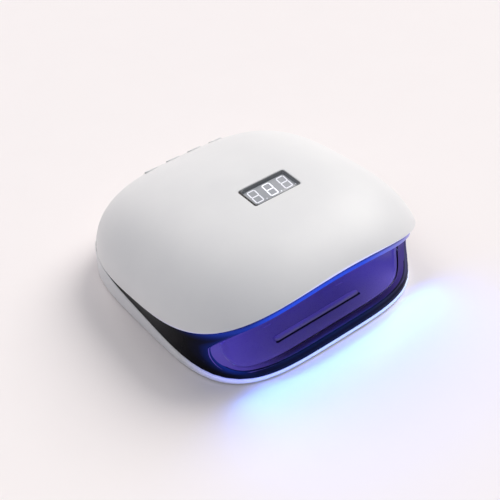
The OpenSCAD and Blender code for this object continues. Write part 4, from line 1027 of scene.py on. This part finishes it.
# %% A plastic from the shared group
def plastic(name, colour, shade, gloss_low, gloss_high, grain):
    """Moulded plastic: two close colours, a range of gloss, and its grain's strength or None."""
    material = bpy.data.materials.new(name)
    material.use_nodes = True
    tree, shader = material.node_tree, material.node_tree.nodes["Principled BSDF"]
    place = tree.nodes.new("ShaderNodeTexCoord").outputs["Object"]
    surface = tree.nodes.new("ShaderNodeGroup")
    surface.node_tree = moulded
    for label, value in (("Colour", (*colour, 1)), ("Shade", (*shade, 1)), ("Gloss Low", gloss_low),
                         ("Gloss High", gloss_high)):
        surface.inputs[label].default_value = value
    tree.links.new(place, surface.inputs["Vector"])
    tree.links.new(surface.outputs["Colour"], shader.inputs["Base Color"])
    tree.links.new(surface.outputs["Roughness"], shader.inputs["Roughness"])
    if grain is not None:
        surface.inputs["Grain"].default_value = grain
        tree.links.new(surface.outputs["Normal"], shader.inputs["Normal"])
    return material


def set_shader(material, label, value):
    """A constant of a finish stands on the shader itself."""
    material.node_tree.nodes["Principled BSDF"].inputs[label].default_value = value


def dress(piece, material):
    piece.data.materials.clear()
    piece.data.materials.append(material)


PLASTICS = {
    "cover_white": ((0.757, 0.757, 0.76), (0.735, 0.735, 0.742), 0.40, 0.48, 0.06),
    "button_white": ((0.757, 0.757, 0.76), (0.74, 0.74, 0.747), 0.36, 0.44, 0.1),
    "base_white": ((0.78, 0.78, 0.79), (0.75, 0.75, 0.765), 0.38, 0.46, 0.15),
    "band_black": ((0.005, 0.005, 0.007), (0.007, 0.007, 0.009), 0.20, 0.28, 0.08),
    # Tray, ridge and sill are white plastic in painted violet light: paler on the ridge as a painted
    # highlight, and near black on the sill as painted shade.
    "tray_violet": ((0.15, 0.12, 0.36), (0.135, 0.11, 0.33), 0.26, 0.34, 0.05),
    "ridge_painted_violet_highlight": ((0.22, 0.17, 0.55), (0.20, 0.16, 0.50), 0.26, 0.34, 0.05),
    "sill_violet": ((0.024, 0.014, 0.06), (0.02, 0.012, 0.055), 0.30, 0.38, 0.05),
    # Painted shadow in front of the finger ridge:
    "painted_shadow_dark": ((0.006, 0.005, 0.018), (0.005, 0.0045, 0.016), 0.5, 0.6, 0.05),
    "reflector_silver": ((0.75, 0.76, 0.78), (0.7, 0.71, 0.74), 0.18, 0.28, 0.2),
    "bezel_grey": ((0.10, 0.11, 0.12), (0.085, 0.095, 0.105), 0.25, 0.35, 0.2),
    # Painted shade for the display frame's left ledge, painted light for its right wall:
    "bezel_painted_shade": ((0.006, 0.006, 0.007), (0.008, 0.008, 0.009), 0.2, 0.3, 0.05),
    "bezel_painted_light": ((0.20, 0.21, 0.225), (0.18, 0.19, 0.205), 0.25, 0.35, 0.05),
    "display_grey": ((0.37, 0.38, 0.42), (0.34, 0.36, 0.385), 0.15, 0.25, 0.1),
    "zinc": ((0.55, 0.55, 0.57), (0.48, 0.48, 0.5), 0.25, 0.4, 0.3),
    "led_board_white": ((0.75, 0.75, 0.76), (0.7, 0.71, 0.73), 0.3, 0.45, 0.3),
    "circuit_green": ((0.02, 0.13, 0.05), (0.015, 0.10, 0.04), 0.25, 0.35, 0.3),
    "chassis_black": ((0.02, 0.02, 0.023), (0.03, 0.03, 0.033), 0.35, 0.5, 0.4),
    "foot_rubber": ((0.03, 0.03, 0.032), (0.045, 0.045, 0.045), 0.6, 0.8, 0.8),
    "connector_ivory": ((0.7, 0.66, 0.52), (0.66, 0.61, 0.47), 0.35, 0.5, 0.3),
    "capacitor_blue": ((0.03, 0.04, 0.14), (0.025, 0.035, 0.11), 0.25, 0.35, 0.2),
    "lead_red": ((0.5, 0.02, 0.02), (0.42, 0.015, 0.015), 0.35, 0.5, 0.3),
    "lead_grey": ((0.2, 0.2, 0.21), (0.16, 0.16, 0.17), 0.35, 0.5, 0.3),
    "diffuser_white": ((0.8, 0.8, 0.8), (0.76, 0.76, 0.77), 0.4, 0.55, 0.2),
    "sensor_dark": ((0.03, 0.012, 0.025), (0.02, 0.01, 0.02), 0.06, 0.12, 0.05),
    "floor_white": ((0.902, 0.853, 0.848), (0.897, 0.848, 0.843), 0.7, 0.8, 0.0),
}
finish = {name: plastic(name, *values) for name, values in PLASTICS.items()}
for name, value in (("painted_shadow_dark", 0.05), ("band_black", 0.02), ("sill_violet", 0.2)):
    set_shader(finish[name], "Specular IOR Level", value)
for name, value in (("reflector_silver", 0.85), ("zinc", 1.0)):
    set_shader(finish[name], "Metallic", value)
print("plastics", len(finish))

# %% [markdown]
# The mouth throws its blue light on the skins round it, and the chamber's violet light falls on
# tray and sill. This light is painted: each skin carries a painted light value at every point,
# and here the value becomes emission. Its colour may change from left to right: on the band it
# turns from blue to a paler violet. A row says the colour at the left, the one at the right, and
# from where to where it changes.


# %% Painted light that the skins catch
def caught_light(material, left, right, low, high):
    tree = material.node_tree
    painted_light = tree.nodes.new("ShaderNodeAttribute")
    painted_light.attribute_name = "painted_light"
    split = tree.nodes.new("ShaderNodeSeparateXYZ")
    tree.links.new(tree.nodes["Texture Coordinate"].outputs["Object"], split.inputs["Vector"])
    side = ranged(tree, split.outputs["X"], low, high).outputs["Result"]
    lit = colour_mix(tree, painted_light.outputs["Fac"], (0, 0, 0), colour_mix(tree, side, left, right))
    tree.links.new(lit, tree.nodes["Principled BSDF"].inputs["Emission Color"])
    set_shader(material, "Emission Strength", 1.0)


# Each row paints light: emission that stands in for the light of the mouth and the chamber.
for name, *row in (
        ("cover_white", (0.14, 0.15, 0.60), (0.16, 0.16, 0.60), -0.02, 0.08),
        ("base_white", (0.16, 0.20, 0.75), (0.14, 0.26, 0.65), -0.09, -0.02),
        ("band_black", (0.02, 0.07, 0.75), (0.26, 0.25, 0.62), 0.02, 0.075),
        ("tray_violet", (0.028, 0.018, 0.17), (0.030, 0.022, 0.19), -0.05, 0.05),
        ("sill_violet", (0.062, 0.042, 0.31), (0.04, 0.027, 0.17), -0.05, 0.05)):
    caught_light(finish[name], *row)
    print(name, "catches light")

# %% Finishes of the outer pieces
for piece, name in (
        (top_cover, "cover_white"), (socket_seat, "cover_white"), (side_band, "band_black"),
        (base_pan, "base_white"), (mouth_ring, "sill_violet"), (floor_tray, "tray_violet"),
        (finger_ridge, "ridge_painted_violet_highlight"), (ridge_painted_shadow, "painted_shadow_dark"),
        (reflector, "reflector_silver"), (display_frame, "bezel_grey"),
        (display_face, "display_grey"), *((button, "button_white") for button in buttons)):
    dress(piece, finish[name])

# %% [markdown]
# The frame of the display is one moulding. Its left ledge gets a nearly black copy of its finish
# as painted shade, and its right wall a paler copy as painted light, chosen face by face from
# where a face is.

# %% Three shades of the display frame: its finish, painted shade and painted light
LEDGE_WIDE, LIT_WALL_WIDE, LIT_WALL_TOP_Z = 2.2, 1.9, 96.2
for name in ("bezel_painted_shade", "bezel_painted_light"):
    display_frame.data.materials.append(finish[name])
for face in display_frame.data.polygons:
    x, z = face.center.x / MM, face.center.z / MM
    face.material_index = 0
    if x < -WINDOW_HALF + LEDGE_WIDE:
        face.material_index = 1
    elif x > WINDOW_HALF - LIT_WALL_WIDE and z < LIT_WALL_TOP_Z:
        face.material_index = 2
shades = [face.material_index for face in display_frame.data.polygons]
print("faces in each shade", [shades.count(k) for k in range(3)])

# %% [markdown]
# The digits and the lights glow. Glow is emission on the shader, and a little noise keeps each lit
# piece from looking like a flat sticker.

# %% Glowing finishes
GLOW_CLOUD, GLOW_DIM = 0.004, 0.85


def glowing(name, colour, shade, light, strength):
    """A plastic without grain that gives light of its own."""
    material = plastic(name, colour, shade, 0.2, 0.3, None)
    tree = material.node_tree
    cloud = noise(tree, tree.nodes["Texture Coordinate"].outputs["Object"], GLOW_CLOUD)
    dim = tuple(c * GLOW_DIM for c in light)
    lit = colour_mix(tree, cloud.outputs["Fac"], light, dim)
    tree.links.new(lit, tree.nodes["Principled BSDF"].inputs["Emission Color"])
    set_shader(material, "Emission Strength", strength)
    return material


for name, *row in (
        ("digit_faint", (0.8, 0.8, 0.85), (0.75, 0.75, 0.8), (0.8, 0.82, 0.95), 0.22),
        ("digit_bright", (0.9, 0.9, 0.95), (0.85, 0.85, 0.9), (0.9, 0.92, 1.0), 0.42),
        ("lens_clear", (0.8, 0.8, 0.95), (0.75, 0.75, 0.9), (0.45, 0.35, 1.0), 3.0),
        ("emitter_yellow", (0.7, 0.6, 0.2), (0.6, 0.5, 0.15), (0.6, 0.5, 1.0), 1.5)):
    finish[name] = glowing(name, *row)
dress(digits_faint, finish["digit_faint"])
dress(digit_lit, finish["digit_bright"])
print("finishes", len(finish))

# %% [markdown]
# Most of the inner nodes keep their CAD shape. Their loose triangles are left alone, and each only
# gets the finish of what it is: plated steel, circuit board, black plastic, rubber or lead.

# %% Finishes of the CAD's own nodes
INNER_NODES = {
    "zinc": ("tray_screws", "base_magnets", "housing_magnets", "control_board_screws",
             "case_screws", "button_board_screws", "socket_pin", "socket_nut"),
    "chassis_black": ("chassis", "control_chips", "power_coils", "buzzer", "switch_bodies",
                      "power_socket", "sensor_housing", "power_lead"),
    "led_board_white": ("ceiling_led_board", "left_led_board", "right_led_board", "rear_led_board"),
    "circuit_green": ("control_board", "button_board"),
    "connector_ivory": ("board_connectors", "plunger_10s", "plunger_30s", "plunger_60s",
                        "plunger_99s"),
    "foot_rubber": ("rubber_feet",), "emitter_yellow": ("led_emitters",),
    "lens_clear": ("led_lenses",), "diffuser_white": ("display_backlight",),
    "capacitor_blue": ("board_capacitors",), "sensor_dark": ("sensor_lenses",),
    "lead_red": ("led_leads",), "lead_grey": ("button_lead",)}
for name, dressed in INNER_NODES.items():
    for node in dressed:
        dress(nodes[node], finish[name])
print("carried-over nodes dressed:", sum(map(len, INNER_NODES.values())))

# %% [markdown]
# The floor is one large pale sheet. The world is plain: it lights everything from all round, and
# where the camera looks straight at it, or in a reflection, it shows the floor's own pale tone.

# %% Floor
FLOOR_HALF = 4.0
bm = bmesh.new()
bmesh.ops.create_grid(bm, x_segments=8, y_segments=8, size=FLOOR_HALF)
floor_mesh = bpy.data.meshes.new("floor")
bm.to_mesh(floor_mesh)
bm.free()
floor = bpy.data.objects.new("floor", floor_mesh)
bpy.context.scene.collection.objects.link(floor)
dress(floor, finish["floor_white"])
print("floor", len(floor_mesh.polygons), "faces")

# %% Plain world
world = bpy.data.worlds.new("studio")
bpy.context.scene.world = world
world.use_nodes = True
air = world.node_tree
sky, seen = air.nodes["Background"], air.nodes.new("ShaderNodeBackground")
for backdrop, colour, strength in (
        (sky, (0.86, 0.91, 1.0), 0.42), (seen, (0.94, 0.885, 0.88), 1.0)):
    backdrop.inputs["Color"].default_value = (*colour, 1)
    backdrop.inputs["Strength"].default_value = strength
path = air.nodes.new("ShaderNodeLightPath")
looked_at = path.outputs["Is Camera Ray"]
for label in ("Is Glossy Ray", "Is Transmission Ray"):
    either = air.nodes.new("ShaderNodeMath")
    either.operation = "MAXIMUM"
    air.links.new(looked_at, either.inputs[0])
    air.links.new(path.outputs[label], either.inputs[1])
    looked_at = either.outputs["Value"]
choose = air.nodes.new("ShaderNodeMixShader")
air.links.new(looked_at, choose.inputs["Fac"])
air.links.new(sky.outputs["Background"], choose.inputs[1])
air.links.new(seen.outputs["Background"], choose.inputs[2])
air.links.new(choose.outputs["Shader"], air.nodes["World Output"].inputs["Surface"])
print("world", world.name, len(air.nodes), "nodes")

# %% [markdown]
# Two broad suns stand far behind the lamp, a strong one at its right and a weak one at its left.
# They are wide, so their shadows are soft.


# %% Two soft suns
SUN_WIDTH = math.radians(40)


def soft_sun(name, towards_right, away, strength, colour):
    """A broad far light at forty-five degrees: its way is given as the camera sees it."""
    data = bpy.data.lights.new(name, "SUN")
    data.energy, data.color, data.angle = strength * math.pi, colour, SUN_WIDTH
    flat = (right * towards_right + Vector((-right.y, right.x, 0)) * away).normalized()
    lamp = bpy.data.objects.new(name, data)
    lamp.rotation_euler = (flat + Vector((0, 0, 1))).to_track_quat("Z", "Y").to_euler()
    bpy.context.scene.collection.objects.link(lamp)
    print("sun", name)


soft_sun("key_behind_right", 1, 1, 0.68, (1.0, 0.965, 0.925))
soft_sun("fill_behind_left", -1, 1, 0.25, (1.0, 0.93, 0.88))

# %% [markdown]
# The lamp's own light comes from panels that the camera can't see. Two violet ones hang under the
# chamber's ceiling, where the real lights are. Two thin ones stand before the mouth and colour the
# floor: one is close and bright, the other wide and faint.


# %% Light of the lamp itself
def panel(name, place, aim, size, power, colour, spread=180):
    """A flat light at a place, turned towards an aim. Its spread is in degrees."""
    data = bpy.data.lights.new(name, "AREA")
    data.shape, data.size, data.size_y = "RECTANGLE", size[0], size[1]
    data.energy, data.color, data.spread = power, colour, math.radians(spread)
    lamp = bpy.data.objects.new(name, data)
    lamp.location = place
    lamp.rotation_euler = (Vector(aim) - Vector(place)).to_track_quat("-Z", "Y").to_euler()
    lamp.visible_camera = lamp.visible_glossy = False
    bpy.context.scene.collection.objects.link(lamp)
    print("panel", name)


for x in (-0.06, 0.06):
    panel("chamber_violet", (x, 0.01, 0.060), (x, 0.01, 0), (0.04, 0.05), 0.034, (0.22, 0.11, 1.0))
panel("mouth_glow", (0, -0.097, 0.019), (0, -0.137, 0.002), (0.198, 0.004), 0.024,
      (0.18, 0.60, 1.0), 110)
panel("mouth_haze", (0, -0.102, 0.030), (0, -0.20, 0.0), (0.20, 0.02), 0.09, (0.03, 0.15, 1.0), 170)

# %% Standard view
scene = bpy.context.scene
scene.view_settings.view_transform = "Standard"
